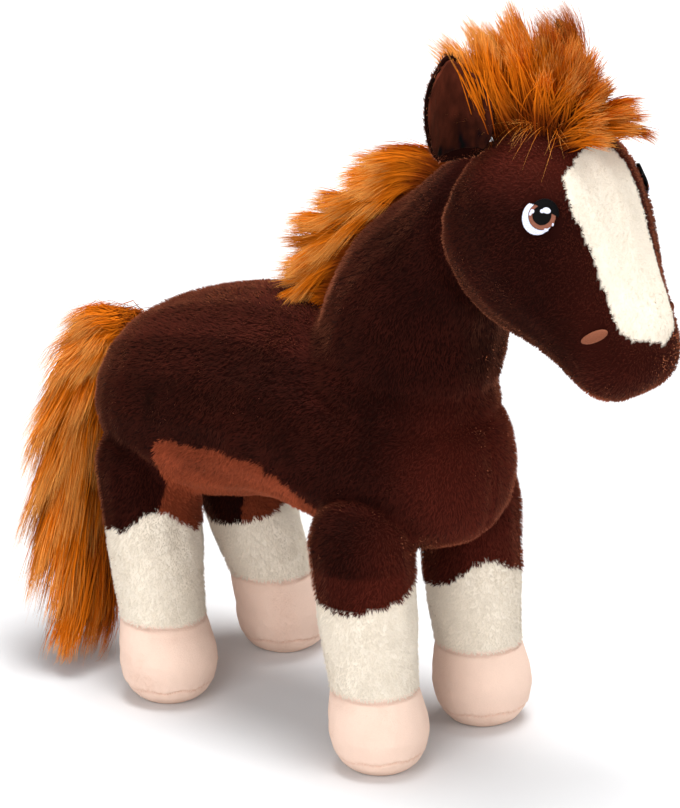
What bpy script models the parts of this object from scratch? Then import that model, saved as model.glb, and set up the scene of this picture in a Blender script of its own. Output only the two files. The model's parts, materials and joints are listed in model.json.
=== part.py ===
"""A standing plush horse, about 32 cm long, made of sewn fur panels over stuffing.

The horse faces -Y, its right side is at -X and it stands on z = 0. The torso is the fixed body. The neck,
the head, each ear, each leg and the tail turn about empties that lie on their joints' axes.
"""
import math

import bmesh
import bpy
from mathutils import Matrix, Vector
from mathutils.bvhtree import BVHTree

# Driving sizes in metres. Reaches along y are measured from the middle of the four hooves.
fabric = 0.0026
seam_gap = 0.0003
patch_thick = 0.0009

torso_length = 0.176
torso_width = 0.084
torso_depth = 0.088
belly_height = 0.073
rump_reach = 0.097
gusset_width = 0.044
gusset_reach = 0.066

hip_height = 0.084
hip_ball_radius = 0.0188
hip_gap = 0.0011
fore_hip_out = 0.0295
fore_hip_reach = 0.0430
fore_hoof_out = 0.0288
fore_hoof_reach = 0.0500
hind_hip_out = 0.0215
hind_hip_reach = 0.0690
hind_hoof_out = 0.0322
hind_hoof_reach = 0.0500
swing_flare_deg = 17.0

leg_radius = 0.0180
hoof_height = 0.0310
hoof_radius = 0.0183
pastern_radius = 0.0168
sole_height = 0.0042
fore_sock_height = 0.0660
hind_sock_height = 0.0690
toe_length = 0.0020

neck_ball_radius = 0.041
neck_ball_half_width = 0.034
neck_ball_reach = 0.032
neck_ball_height = 0.128
neck_ball_gap = 0.0008
neck_floor_share = 0.50
poll_radius = 0.0255
poll_reach = 0.080
poll_height = 0.208
poll_tilt_deg = 42.0
poll_gap = 0.0008
neck_depth = 0.076
neck_width = 0.064

skull_reach = 0.108
skull_height = 0.214
face_tilt_deg = 34.0
head_length = 0.100
head_depth = 0.074
head_width = 0.071
blaze_width = 0.0325
chin_width = 0.026
forehead_width = 0.041
eye_diameter = 0.0125
eye_share = 0.006
eye_turn_deg = 30.0
nostril_share = 0.439
nostril_turn_deg = 22.0
nostril_roll_deg = 25.0
nostril_length = 0.0095
nostril_height = 0.0045

ear_length = 0.039
ear_width = 0.025
ear_thick = 0.0020
lining_thick = 0.0016
ear_out = 0.0235
ear_reach = 0.0815
ear_height = 0.2335
ear_cup = 0.0080
ear_splay_deg = 9.0
ear_turn_deg = 35.0

forelock_height = 0.029
forelock_spread = 0.080
forelock_width = 0.032
forelock_reach = 0.101
mane_height = 0.027
mane_thick = 0.014
crest_tilt_deg = 58.0
tail_width = 0.038
tail_depth = 0.026
tail_root_height = 0.1275
tail_root_reach = 0.0925

ring_points = 8
leg_points = 12
ear_points = 6
ball_segments = 20
hip_segments = 16
dome_steps = 3
sleeve_steps = 2

X_AXIS = Vector((1, 0, 0))

BROWN = (0.095, 0.022, 0.010)
LIGHT_BROWN = (0.215, 0.070, 0.035)
CREAM = (0.820, 0.700, 0.500)
PEACH = (0.860, 0.560, 0.420)
GINGER = (0.520, 0.170, 0.020)
STUFFING = (0.830, 0.830, 0.800)
BLACK = (0.010, 0.008, 0.008)
TAN = (0.330, 0.130, 0.080)


def place(across, reach, height):
    """A point from its distance across, its reach behind the hooves' middle, and its height."""
    return Vector((across, reach, height))


def clear_scene():
    """Remove whatever the file holds."""
    for thing in list(bpy.data.objects):
        bpy.data.objects.remove(thing, do_unlink=True)


def new_collection(name):
    """A collection linked to the scene."""
    group = bpy.data.collections.new(name)
    bpy.context.scene.collection.children.link(group)
    return group


clear_scene()
parts = new_collection("plush_horse")
cutters = new_collection("cutters")


def material(name, colour, roughness):
    """A plain cloth material, made once for each name."""
    made = bpy.data.materials.get(name)
    if made is None:
        made = bpy.data.materials.new(name)
        made.use_nodes = True
        shader = made.node_tree.nodes["Principled BSDF"]
        shader.inputs["Base Color"].default_value = (*colour, 1)
        shader.inputs["Roughness"].default_value = roughness
        shader.inputs["Metallic"].default_value = 0
    return made


def pivot(name, spot, parent=None):
    """An empty on a joint's axis, which its body's pieces hang from."""
    empty = bpy.data.objects.new(name, None)
    parts.objects.link(empty)
    empty.parent = parent
    empty.location = spot - parent.matrix_world.translation if parent else spot
    bpy.context.view_layer.update()
    return empty


def mesh_object(name, shape, group):
    """An object that holds a finished bmesh, with its faces turned out."""
    bmesh.ops.recalc_face_normals(shape, faces=shape.faces)
    if shape.calc_volume(signed=True) < 0:
        bmesh.ops.reverse_faces(shape, faces=shape.faces)
    mesh = bpy.data.meshes.new(name)
    shape.to_mesh(mesh)
    shape.free()
    thing = bpy.data.objects.new(name, mesh)
    group.objects.link(thing)
    return thing


def loft(rings, closed=False):
    """A skin through rings of equal count, capped at both ends or closed on itself."""
    shape = bmesh.new()
    loops = add_rings(shape, rings)
    if closed:
        bridge(shape, loops + loops[:1])
    else:
        bridge(shape, loops)
        shape.faces.new(loops[0])
        shape.faces.new(loops[-1])
    return shape


def add_rings(shape, rings):
    """The rings' points as the vertices of a shape."""
    return [[shape.verts.new(point) for point in ring] for ring in rings]


def bridge(shape, loops):
    """Four-sided faces between each ring and the next."""
    for lower, upper in zip(loops, loops[1:]):
        for index, point in enumerate(lower):
            after = (index + 1) % len(lower)
            shape.faces.new((point, lower[after], upper[after], upper[index]))


def soften(thing, levels=1):
    """Turn a coarse cage into a rounded form."""
    modifier = thing.modifiers.new("soft", "SUBSURF")
    modifier.levels = levels
    modifier.render_levels = levels
    thing.data.shade_smooth()


def combine(thing, other, operation):
    """Cut, join or intersect with another object."""
    modifier = thing.modifiers.new(other.name, "BOOLEAN")
    modifier.operation = operation
    modifier.object = other
    modifier.solver = "EXACT"


def as_cutter(thing):
    """Mark an object as a tool that isn't part of the horse."""
    for group in list(thing.users_collection):
        group.objects.unlink(thing)
    cutters.objects.link(thing)
    thing.hide_render = True
    thing.display_type = "WIRE"
    return thing


def finish(thing, name, surface, body=None):
    """Name a piece, give it its material and hang it from its joint's empty."""
    thing.name = name
    thing.data.name = name
    thing.data.materials.clear()
    thing.data.materials.append(surface)
    if body is not None:
        home = body.matrix_world.translation
        thing.data.transform(Matrix.Translation(-home) @ thing.matrix_world)
        thing.matrix_world = Matrix.Identity(4)
        thing.parent = body
        thing.location = (0, 0, 0)
    return thing


def oval_ring(centre, normal, half_width, half_depth):
    """A ring of cage points whose rounded form has the given half sizes across and along a normal."""
    pull = 2 / 3 + math.cos(2 * math.pi / ring_points) / 3
    ring = []
    for index in range(ring_points):
        turn = 2 * math.pi * index / ring_points
        side = X_AXIS * (math.cos(turn) * half_width / pull)
        ring.append(centre + side + normal * (math.sin(turn) * half_depth / pull))
    return ring


def box(name, low, high):
    """A box between two corners, as a cutter."""
    shape = bmesh.new()
    bmesh.ops.create_cube(shape, size=1)
    low = Vector(low)
    high = Vector(high)
    size = high - low
    bmesh.ops.scale(shape, vec=size, verts=shape.verts)
    bmesh.ops.translate(shape, vec=(low + high) / 2, verts=shape.verts)
    return as_cutter(mesh_object(name, shape, cutters))


def ball(name, centre, radius, half_width, segments):
    """A ball turned about the x axis, as wide as two half widths."""
    shape = bmesh.new()
    bmesh.ops.create_uvsphere(shape, u_segments=segments, v_segments=segments // 2, radius=radius)
    bmesh.ops.rotate(shape, matrix=Matrix.Rotation(math.pi / 2, 3, "Y"), verts=shape.verts)
    bmesh.ops.scale(shape, vec=(half_width / radius, 1, 1), verts=shape.verts)
    bmesh.ops.translate(shape, vec=centre, verts=shape.verts)
    return mesh_object(name, shape, cutters)


# Torso stations from rump to chest: place along the torso, height of the centre, width and depth.
torso_shares = (
    (0.00, 0.40, 0.22, 0.20),
    (0.03, 0.38, 0.60, 0.50),
    (0.11, 0.39, 0.90, 0.76),
    (0.23, 0.44, 1.00, 0.87),
    (0.44, 0.50, 0.98, 0.99),
    (0.64, 0.51, 1.00, 0.97),
    (0.82, 0.46, 0.87, 0.86),
    (0.95, 0.41, 0.58, 0.62),
    (1.00, 0.39, 0.28, 0.28),
)


def torso_form(name, inset):
    """The barrel of the horse, drawn in by an inset."""
    rings = []
    shrink = 1 - 2 * inset / torso_length
    for along, rise, wide, deep in torso_shares:
        reach = rump_reach - torso_length * (0.5 + (along - 0.5) * shrink)
        centre = place(0, reach, belly_height + rise * torso_depth)
        half_width = max(wide * torso_width / 2 - inset, fabric)
        half_depth = max(deep * torso_depth / 2 - inset, fabric)
        rings.append(oval_ring(centre, Vector((0, 0, 1)), half_width, half_depth))
    form = mesh_object(name, loft(rings), cutters)
    soften(form)
    return as_cutter(form)


neck_centre = place(0, -neck_ball_reach, neck_ball_height)
poll_centre = place(0, -poll_reach, poll_height)
poll_tilt = math.radians(poll_tilt_deg)
poll_axis = Vector((0, -math.sin(poll_tilt), math.cos(poll_tilt)))

# Neck stations between the ball and the poll: share of the way, bow behind the straight line, tilt,
# width and depth.
neck_shares = (
    (0.00, 0.00, 0.15, 0.92, 0.92),
    (0.24, 0.04, 0.20, 0.98, 0.91),
    (0.46, 0.11, 0.45, 0.94, 0.87),
    (0.66, 0.09, 0.80, 0.86, 0.75),
)
# The poll is round about the axis that the head turns on: places along that axis and radii.
poll_shares = (
    (-0.80, 1.02),
    (0.00, 1.00),
    (0.62, 0.80),
    (0.92, 0.36),
)


def neck_form(name, inset):
    """The neck, round where it enters the head."""
    rings = []
    way = poll_centre - neck_centre
    behind = Vector((0, way.z, -way.y))
    for along, bow, tilt, wide, deep in neck_shares:
        centre = neck_centre + way * along + behind * bow
        lean = poll_tilt * tilt
        normal = Vector((0, math.cos(lean), math.sin(lean)))
        half_width = wide * neck_width / 2 - inset
        half_depth = deep * neck_depth / 2 - inset
        rings.append(oval_ring(centre, normal, half_width, half_depth))
    normal = Vector((0, math.cos(poll_tilt), math.sin(poll_tilt)))
    for along, wide in poll_shares:
        radius = wide * poll_radius - inset
        centre = poll_centre + poll_axis * (along * (poll_radius - inset))
        rings.append(oval_ring(centre, normal, radius, radius))
    form = mesh_object(name, loft(rings), cutters)
    soften(form)
    return as_cutter(form)


skull_centre = place(0, -skull_reach, skull_height)
face_tilt = math.radians(face_tilt_deg)
face_down = Vector((0, -math.sin(face_tilt), -math.cos(face_tilt)))
face_out = Vector((0, -math.cos(face_tilt), math.sin(face_tilt)))

# Head stations from the crown to the muzzle: place along the face, centre in front of the skull's line,
# width and depth.
head_shares = (
    (-0.33, -0.03, 0.26, 0.27),
    (-0.28, -0.04, 0.65, 0.62),
    (-0.15, -0.08, 0.95, 0.93),
    (0.03, -0.10, 1.00, 1.00),
    (0.20, -0.12, 0.92, 0.90),
    (0.36, -0.08, 0.72, 0.70),
    (0.50, -0.02, 0.60, 0.57),
    (0.62, -0.02, 0.51, 0.48),
    (0.68, -0.02, 0.24, 0.23),
)


def head_form(name, inset):
    """The head and muzzle, drawn in by an inset."""
    rings = []
    first = head_shares[0][0]
    last = head_shares[-1][0]
    middle = (first + last) / 2
    shrink = 1 - 2 * inset / ((last - first) * head_length)
    for along, forward, wide, deep in head_shares:
        place_along = middle + (along - middle) * shrink
        centre = skull_centre + face_down * (place_along * head_length) + face_out * (forward * head_depth)
        half_width = max(wide * head_width / 2 - inset, fabric)
        half_depth = max(deep * head_depth / 2 - inset, fabric)
        rings.append(oval_ring(centre, face_out, half_width, half_depth))
    form = mesh_object(name, loft(rings), cutters)
    soften(form)
    return as_cutter(form)


class Leg:
    """Where one leg stands and turns, and how wide it is at each height."""

    def __init__(self, side, pair):
        fore = pair == "front"
        self.name = f"{pair}_{'right' if side < 0 else 'left'}"
        hip_out = fore_hip_out if fore else hind_hip_out
        hip_reach = -fore_hip_reach if fore else hind_hip_reach
        hoof_out = fore_hoof_out if fore else hind_hoof_out
        hoof_reach = -fore_hoof_reach if fore else hind_hoof_reach
        self.hip = place(side * hip_out, hip_reach, hip_height)
        self.foot = place(side * hoof_out, hoof_reach, 0)
        self.sock_height = fore_sock_height if fore else hind_sock_height

    def centre(self, height):
        """The middle of the leg at a height: upright through the hoof, then slanting to the hip."""
        pastern = hoof_height / 2
        share = min(max((height - pastern) / (hip_height - pastern), 0), 1)
        spot = self.foot.lerp(self.hip, share)
        toe = toe_length * max(1 - height / hoof_height, 0)
        return Vector((spot.x, spot.y - toe, height))

    def radius(self, height):
        """The leg's radius: a rounded hoof, a slight waist above it and a ball at the hip."""
        if height > hip_height:
            return math.sqrt(max(hip_ball_radius ** 2 - (height - hip_height) ** 2, 0))
        if height < hoof_height:
            share = height / hoof_height
            toe = math.sqrt(max(1 - max(sole_height - height, 0) ** 2 / sole_height ** 2 / 2, 0))
            flare = 1 - share ** 2
            return (pastern_radius + (hoof_radius - pastern_radius) * flare) * toe
        share = min((height - hoof_height) / (self.sock_height - hoof_height), 1)
        lower = pastern_radius + (leg_radius - pastern_radius) * math.sin(share * math.pi / 2)
        share = max((height - self.sock_height) / (hip_height - self.sock_height), 0)
        return lower + (hip_ball_radius - leg_radius) * share

    def ring(self, height, inset=0.0):
        """The leg's outline at a height."""
        centre = self.centre(height)
        radius = max(self.radius(height) - inset, fabric / 2)
        return round_ring(centre, radius, leg_points)

    def rings(self, low, high, steps, inset=0.0):
        """Outlines at even heights from low to high."""
        return [self.ring(low + (high - low) * step / steps, inset) for step in range(steps + 1)]

    def dome(self, inset):
        """Outlines over the hip's ball, up to its pole."""
        rings = []
        reach = hip_ball_radius - inset
        for step in range(1, dome_steps + 1):
            lift = math.pi / 2 * step / (dome_steps + 1 / 2)
            centre = self.centre(hip_height) + Vector((0, 0, reach * math.sin(lift)))
            rings.append(round_ring(centre, reach * math.cos(lift), leg_points))
        return rings


def build_leg(leg, body):
    """The upper skin, sock, hoof wall, sole and stuffing of one leg."""
    brown = material("pile_brown", BROWN, 0.9)
    cream = material("pile_cream", CREAM, 0.9)
    peach = material("nap_peach", PEACH, 0.8)
    half = seam_gap / 2
    wall_low = sole_height + half
    sock_low = hoof_height + half
    skin_low = leg.sock_height + half

    def layers(inset):
        """The outlines of the wall, the sock and the skin, drawn in by an inset."""
        wall = leg.rings(wall_low, hoof_height - half, sleeve_steps, inset)
        sock = leg.rings(sock_low, leg.sock_height - half, sleeve_steps, inset)
        skin = leg.rings(skin_low, hip_height, sleeve_steps, inset) + leg.dome(inset)
        return wall, sock, skin

    outer_wall, outer_sock, outer_skin = layers(0)
    inner_wall, inner_sock, inner_skin = layers(fabric)
    skin = mesh_object("skin", cup(outer_skin, inner_skin), parts)
    finish(skin, f"leg_skin_{leg.name}", brown, body)
    sock = mesh_object("sock", loft(outer_sock + inner_sock[::-1], closed=True), parts)
    finish(sock, f"sock_{leg.name}", cream, body)
    wall = mesh_object("wall", loft(outer_wall + inner_wall[::-1], closed=True), parts)
    finish(wall, f"hoof_{leg.name}", peach, body)
    sole = mesh_object("sole", loft(leg.rings(0, sole_height - half, sleeve_steps)), parts)
    finish(sole, f"sole_{leg.name}", peach, body)
    core_wall, core_sock, core_skin = layers(fabric + seam_gap)
    core = mesh_object("core", loft(core_wall + core_sock + core_skin), parts)
    finish(core, f"leg_stuffing_{leg.name}", material("stuffing", STUFFING, 1.0), body)


def cup(outer, inner):
    """A domed sleeve: an outer skin and an inner one that share the rim at their first rings."""
    return loft(outer[::-1] + inner)


def hip_bay(leg):
    """The room in the torso for a leg's ball, flared below so that the leg can swing."""
    room = hip_ball_radius + hip_gap
    drop = hip_height - belly_height + hip_ball_radius
    flare = drop * math.tan(math.radians(swing_flare_deg))
    rings = [
        round_ring(leg.centre(hip_height - drop), room + flare, hip_segments),
        round_ring(leg.hip, room, hip_segments),
    ]
    for step in range(1, dome_steps + 1):
        lift = math.pi / 2 * step / (dome_steps + 1 / 4)
        centre = leg.hip + Vector((0, 0, room * math.sin(lift)))
        rings.append(round_ring(centre, room * math.cos(lift), hip_segments))
    return as_cutter(mesh_object("hip_bay", loft(rings), cutters))


def round_ring(centre, radius, count):
    """A level circle of points."""
    turns = [2 * math.pi * index / count for index in range(count)]
    return [centre + Vector((math.cos(turn), math.sin(turn), 0)) * radius for turn in turns]


def gusset_prism(name, grow):
    """The pointed outline of the belly gusset, seen from below."""
    outline_shares = ((-0.5, 0.10), (-0.36, 0.7), (-0.1, 1.0), (0.1, 1.0), (0.36, 0.7), (0.5, 0.10))
    length = gusset_reach + hind_hip_reach + 2 * grow
    middle = place(0, (hind_hip_reach - gusset_reach) / 2, 0)
    right = []
    left = []
    for along, wide in outline_shares:
        reach = along * length
        out = wide * gusset_width / 2 + grow
        right.append(middle + Vector((-out, reach, 0)))
        left.append(middle + Vector((out, reach, 0)))
    outline = right + left[::-1]
    top = belly_height + torso_depth / 3
    lift = Vector((0, 0, top))
    shape = loft([outline, [point + lift for point in outline]])
    return as_cutter(mesh_object(name, shape, cutters))


def build_torso(legs, body):
    """Two side panels, the belly gusset and the stuffing that they hold."""
    brown = material("pile_brown", BROWN, 0.9)
    light = material("pile_light_brown", LIGHT_BROWN, 0.9)
    inner = torso_form("torso_lining", fabric)
    sockets = [hip_bay(leg) for leg in legs]
    grow = neck_ball_gap
    sockets.append(as_cutter(ball("neck_socket", neck_centre, neck_ball_radius + grow,
                                  neck_ball_half_width + grow, ball_segments)))
    prism = gusset_prism("gusset_outline", 0)
    prism_room = gusset_prism("gusset_room", seam_gap)
    panel = torso_form("body_panel_right", 0)
    combine(panel, right_side("torso_side", torso_length), "INTERSECT")
    for tool in (inner, prism_room, *sockets):
        combine(panel, tool, "DIFFERENCE")
    show(panel)
    finish(panel, "body_panel_right", brown, body)
    mirror_piece(panel, "body_panel_left", body)
    gusset = torso_form("belly_gusset", 0)
    combine(gusset, prism, "INTERSECT")
    for tool in (inner, *sockets):
        combine(gusset, tool, "DIFFERENCE")
    show(gusset)
    finish(gusset, "belly_gusset", light, body)
    core = torso_form("body_stuffing", fabric + seam_gap)
    for socket in sockets:
        combine(core, socket, "DIFFERENCE")
    show(core)
    finish(core, "body_stuffing", material("stuffing", STUFFING, 1.0), body)


def right_side(name, reach):
    """All the space to the right of the middle seam, as far as a reach."""
    return box(name, (-reach, -reach, -reach), (-seam_gap / 2, reach, reach + torso_depth))


def mirror_piece(source, name, body):
    """The left side's copy of a right side's piece."""
    bpy.context.view_layer.update()
    graph = bpy.context.evaluated_depsgraph_get()
    mesh = bpy.data.meshes.new_from_object(source.evaluated_get(graph))
    mesh.transform(Matrix.Scale(-1, 4, X_AXIS))
    mesh.flip_normals()
    mesh.name = name
    thing = bpy.data.objects.new(name, mesh)
    parts.objects.link(thing)
    thing.parent = body


def show(thing):
    """Move a form from the cutters to the parts."""
    cutters.objects.unlink(thing)
    parts.objects.link(thing)
    thing.hide_render = False
    thing.display_type = "TEXTURED"


def neck_ball(name, inset):
    """The round root of the neck, flat below so that it clears the legs, drawn in by an inset."""
    radius = neck_ball_radius - inset
    form = ball(name, neck_centre, radius, neck_ball_half_width - inset, ball_segments)
    floor = neck_ball_height - neck_floor_share * neck_ball_radius + inset
    middle = neck_centre.y
    below = box(f"{name}_floor", (-radius, middle - radius, floor - radius),
                (radius, middle + radius, floor))
    combine(form, below, "DIFFERENCE")
    return as_cutter(form)


def build_neck(body):
    """The neck's skin, with the ball that sits in the chest, and its stuffing."""
    skin = neck_form("neck_skin", 0)
    combine(skin, neck_ball("neck_ball", 0), "UNION")
    combine(skin, neck_form("neck_hollow", fabric), "DIFFERENCE")
    combine(skin, neck_ball("neck_ball_hollow", fabric), "DIFFERENCE")
    mouth = poll_centre.y - poll_radius / 2
    cap = box("poll_cap", (-poll_radius, mouth - poll_radius, poll_height - poll_radius / 2),
              (poll_radius, mouth, poll_height + poll_radius / 2))
    combine(skin, cap, "DIFFERENCE")
    show(skin)
    finish(skin, "neck_skin", material("pile_brown", BROWN, 0.9), body)
    core = neck_form("neck_stuffing", fabric + seam_gap)
    combine(core, neck_ball("neck_ball_core", fabric + seam_gap), "UNION")
    show(core)
    finish(core, "neck_stuffing", material("stuffing", STUFFING, 1.0), body)


def face_prism(name, outline, near, far, grow):
    """A prism through the head along the way the face looks, from an outline of (across, down) shares."""
    rings = []
    for depth in (near, far):
        ring = []
        for across, down in outline:
            spot = skull_centre + face_down * (down * head_length) + face_out * depth
            spot.x += across + math.copysign(grow, across)
            ring.append(spot)
        rings.append(ring)
    return as_cutter(mesh_object(name, loft(rings), cutters))


def mirrored(shares, width):
    """An outline from one side's (half width, place down the face) shares, with its mirror image."""
    right = [(-share * width / 2, down) for share, down in shares]
    left = [(share * width / 2, down) for share, down in reversed(shares)]
    return right + left


blaze_shares = (
    (0.30, -0.190),
    (0.78, -0.150),
    (0.98, -0.060),
    (1.00, 0.150),
    (0.95, 0.350),
    (0.90, 0.470),
    (0.45, 0.545),
)
chin_shares = ((0.50, 0.80), (1.00, 0.60), (1.00, 0.30), (0.60, 0.05))
crown_shares = ((1.0, -0.58), (1.0, 0.04))


def patch(name, centre, aim, width, height, surface, body):
    """An embroidered patch that follows the cheek: a slice of the space just over the head's skin."""
    piece = head_form(name, -(seam_gap + patch_thick))
    shape = bmesh.new()
    bmesh.ops.create_cone(
        shape, cap_ends=True, segments=leg_points, radius1=0.5, radius2=0.5, depth=1
    )
    bmesh.ops.scale(shape, vec=(width, height, 2 * fabric + patch_thick + seam_gap), verts=shape.verts)
    stamp = as_cutter(mesh_object(f"{name}_stamp", shape, cutters))
    stamp.data.transform(Matrix.Translation(centre) @ aim)
    combine(piece, stamp, "INTERSECT")
    combine(piece, head_form(f"{name}_bed", -seam_gap), "DIFFERENCE")
    show(piece)
    finish(piece, name, surface, body)


def face_spot(skin, down_share, turn_deg, side):
    """The point of the skin at a place down the face, turned from the side to the front, and its normal."""
    turn = math.radians(turn_deg)
    start = skull_centre + face_down * (down_share * head_length)
    away = X_AXIS * (side * math.cos(turn)) + face_out * math.sin(turn)
    spot, normal, _, _ = skin.ray_cast(start, away)
    return spot, normal


def skin_tree(form):
    """The rounded surface of a form, to find points on."""
    bpy.context.view_layer.update()
    graph = bpy.context.evaluated_depsgraph_get()
    return BVHTree.FromObject(form, graph)


def aim_along(away, roll):
    """A rotation whose z axis points away and whose y axis leans up the face."""
    up = (-face_down - away * away.dot(-face_down)).normalized()
    across = up.cross(away)
    turn = Matrix((across, up, away)).transposed()
    return turn.to_4x4() @ Matrix.Rotation(roll, 4, "Z")


def build_head(body):
    """Cheeks, forehead, blaze, chin, stuffing, eyes and nostrils."""
    brown = material("pile_brown", BROWN, 0.9)
    hollow = head_form("head_hollow", fabric)
    socket = neck_form("poll_socket", -poll_gap)
    far = head_depth
    blaze = mirrored(blaze_shares, blaze_width)
    crown = mirrored(crown_shares, forehead_width)
    chin = mirrored(chin_shares, chin_width)
    split = head_depth / 8
    blaze_tool = face_prism("blaze_outline", blaze, split, far, 0)
    blaze_room = face_prism("blaze_room", blaze, split - seam_gap, far, seam_gap)
    crown_tool = face_prism("crown_outline", crown, -far, far, 0)
    crown_room = face_prism("crown_room", crown, -far - seam_gap, far + seam_gap, seam_gap)
    chin_tool = face_prism("chin_outline", chin, -far, -split, 0)
    chin_room = face_prism("chin_room", chin, -far, seam_gap - split, seam_gap)
    panel = head_form("cheek_panel_right", 0)
    combine(panel, right_side("head_side", skull_height + head_length), "INTERSECT")
    for tool in (crown_room, blaze_room, chin_room, hollow, socket):
        combine(panel, tool, "DIFFERENCE")
    show(panel)
    finish(panel, "cheek_panel_right", brown, body)
    mirror_piece(panel, "cheek_panel_left", body)
    pieces = (
        ("forehead_panel", crown_tool, (hollow, socket, blaze_room), brown),
        ("blaze_panel", blaze_tool, (hollow, socket), material("pile_cream", CREAM, 0.9)),
        ("chin_gusset", chin_tool, (hollow, socket), brown),
    )
    for name, tool, drops, surface in pieces:
        panel = head_form(name, 0)
        combine(panel, tool, "INTERSECT")
        for drop in drops:
            combine(panel, drop, "DIFFERENCE")
        show(panel)
        finish(panel, name, surface, body)
    core = head_form("head_stuffing", fabric + seam_gap)
    combine(core, socket, "DIFFERENCE")
    show(core)
    finish(core, "head_stuffing", material("stuffing", STUFFING, 1.0), body)
    skin = skin_tree(head_form("head_skin", 0))
    for side, end in ((-1, "right"), (1, "left")):
        spot, away = face_spot(skin, eye_share, eye_turn_deg, side)
        patch(f"eye_{end}", spot, aim_along(away, 0), eye_diameter, eye_diameter,
              material("thread_black", BLACK, 0.5), body)
        spot, away = face_spot(skin, nostril_share, nostril_turn_deg, side)
        patch(f"nostril_{end}", spot, aim_along(away, -side * math.radians(nostril_roll_deg)), nostril_length,
              nostril_height, material("thread_tan", TAN, 0.6), body)


# How far the ear's rims drop below its middle line, and where its lining starts.
rim_drop_share = 0.10
lining_start_share = 0.05
# Ear stations from base to tip: place along the ear, width and cup depth.
ear_shares = (
    (0.00, 0.55, 0.00),
    (0.12, 0.78, 0.40),
    (0.34, 0.98, 0.90),
    (0.60, 1.00, 1.00),
    (0.82, 0.88, 0.85),
    (0.94, 0.66, 0.60),
    (1.00, 0.38, 0.30),
)


def ear_sheet(near, far, low_share, margin):
    """A cupped leaf between two depths in front of the ear's back, in the ear's own frame."""
    rings = []
    for along, wide, cup_share in ear_shares:
        if along < low_share:
            continue
        half_width = max(wide * ear_width / 2 - margin, ear_thick)
        front = []
        back = []
        for index in range(ear_points):
            share = 2 * index / (ear_points - 1) - 1
            curl = cup_share * ear_cup * share ** 2
            height = along * ear_length - (margin if along == ear_shares[-1][0] else 0)
            rise = height - rim_drop_share * ear_length * share ** 2 * along
            front.append(Vector((share * half_width, far + curl, rise)))
            back.append(Vector((share * half_width, near + curl, rise)))
        rings.append(back + front[::-1])
    shape = bmesh.new()
    loops = add_rings(shape, rings)
    bridge(shape, loops)
    for loop in (loops[0], loops[-1]):
        for index in range(ear_points - 1):
            shape.faces.new((loop[index], loop[index + 1], loop[-2 - index], loop[-1 - index]))
    return shape


def ear_frame(side):
    """Where an ear stands: its hinge runs along its base, and its hollow looks forwards and out."""
    base = place(side * ear_out, -ear_reach, ear_height)
    turn = Matrix.Rotation(side * math.radians(ear_turn_deg), 4, "Z")
    lean = Matrix.Rotation(side * math.radians(ear_splay_deg), 4, "Y")
    return Matrix.Translation(base) @ lean @ turn @ Matrix.Rotation(math.pi, 4, "Z")


def build_ear(side, end, body):
    """The furry back of an ear and its short-napped lining."""
    home = ear_frame(side)
    shell = mesh_object("shell", ear_sheet(-ear_thick / 2, ear_thick / 2, 0, 0), parts)
    shell.data.transform(home)
    finish(shell, f"ear_shell_{end}", material("pile_brown", BROWN, 0.9), body)
    near = ear_thick / 2 + seam_gap
    far = near + lining_thick
    lining = mesh_object("lining", ear_sheet(near, far, lining_start_share, ear_thick / 2), parts)
    lining.data.transform(home)
    finish(lining, f"ear_lining_{end}", material("nap_dark", LIGHT_BROWN, 0.95), body)


# Forelock stations above the crown: height, reach along y, width, and shift forwards.
forelock_shares = (
    (-0.20, 0.36, 0.60, 0.00),
    (0.12, 0.48, 0.66, 0.00),
    (0.45, 0.76, 0.84, 0.03),
    (0.78, 1.00, 1.00, 0.05),
    (0.98, 0.70, 0.70, 0.05),
    (1.00, 0.40, 0.40, 0.05),
)


def build_forelock(body):
    """The tuft of long pile that sprays up between the ears."""
    root = skull_height + head_depth / 2
    rings = []
    for rise, long, wide, ahead in forelock_shares:
        centre = place(0, -forelock_reach - ahead * forelock_spread, root + rise * forelock_height)
        half_width = wide * forelock_width / 2
        half_length = long * forelock_spread / 2
        rings.append(oval_ring(centre, Vector((0, 1, 0)), half_width, half_length))
    form = mesh_object("forelock", loft(rings), cutters)
    soften(form)
    combine(form, head_form("forelock_bed", -seam_gap), "DIFFERENCE")
    show(form)
    finish(form, "forelock", material("long_pile_ginger", GINGER, 0.85), body)


# Mane stations from the poll to the withers, as reach and height shares of the neck's rise, and the
# height of the fur there.
mane_shares = (
    (-0.45, 1.12, 0.50),
    (-0.26, 0.97, 1.00),
    (0.04, 0.75, 1.00),
    (0.28, 0.57, 0.90),
    (0.45, 0.46, 0.45),
)


def build_mane(body):
    """The crest of long pile along the top of the neck."""
    rise = poll_height - neck_ball_height
    crest = math.radians(crest_tilt_deg)
    rings = []
    for back, up, tall in mane_shares:
        root = place(0, -neck_ball_reach + back * rise, neck_ball_height + up * rise)
        normal = Vector((0, math.sin(crest), math.cos(crest)))
        centre = root + normal * (tall * mane_height / 2)
        half_depth = tall * mane_height / 2 + fabric
        half_width = (0.5 + tall / 2) * mane_thick / 2
        rings.append(oval_ring(centre, normal, half_width, half_depth))
    form = mesh_object("mane", loft(rings), cutters)
    soften(form)
    combine(form, neck_form("mane_bed", -seam_gap), "DIFFERENCE")
    show(form)
    finish(form, "mane", material("long_pile_ginger", GINGER, 0.85), body)


# Tail stations from root to tip: across and back in tail widths from the root, height as a share of the
# root's height, width and depth.
tail_shares = (
    (0.00, -0.08, 0.955, 0.32, 0.32),
    (-0.02, 0.16, 0.985, 0.46, 0.50),
    (-0.08, 0.42, 0.950, 0.70, 0.80),
    (-0.20, 0.63, 0.830, 0.90, 1.02),
    (-0.38, 0.66, 0.600, 1.00, 1.06),
    (-0.58, 0.50, 0.330, 1.04, 1.00),
    (-0.74, 0.32, 0.110, 0.84, 0.80),
    (-0.77, 0.26, 0.035, 0.44, 0.44),
)


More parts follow.
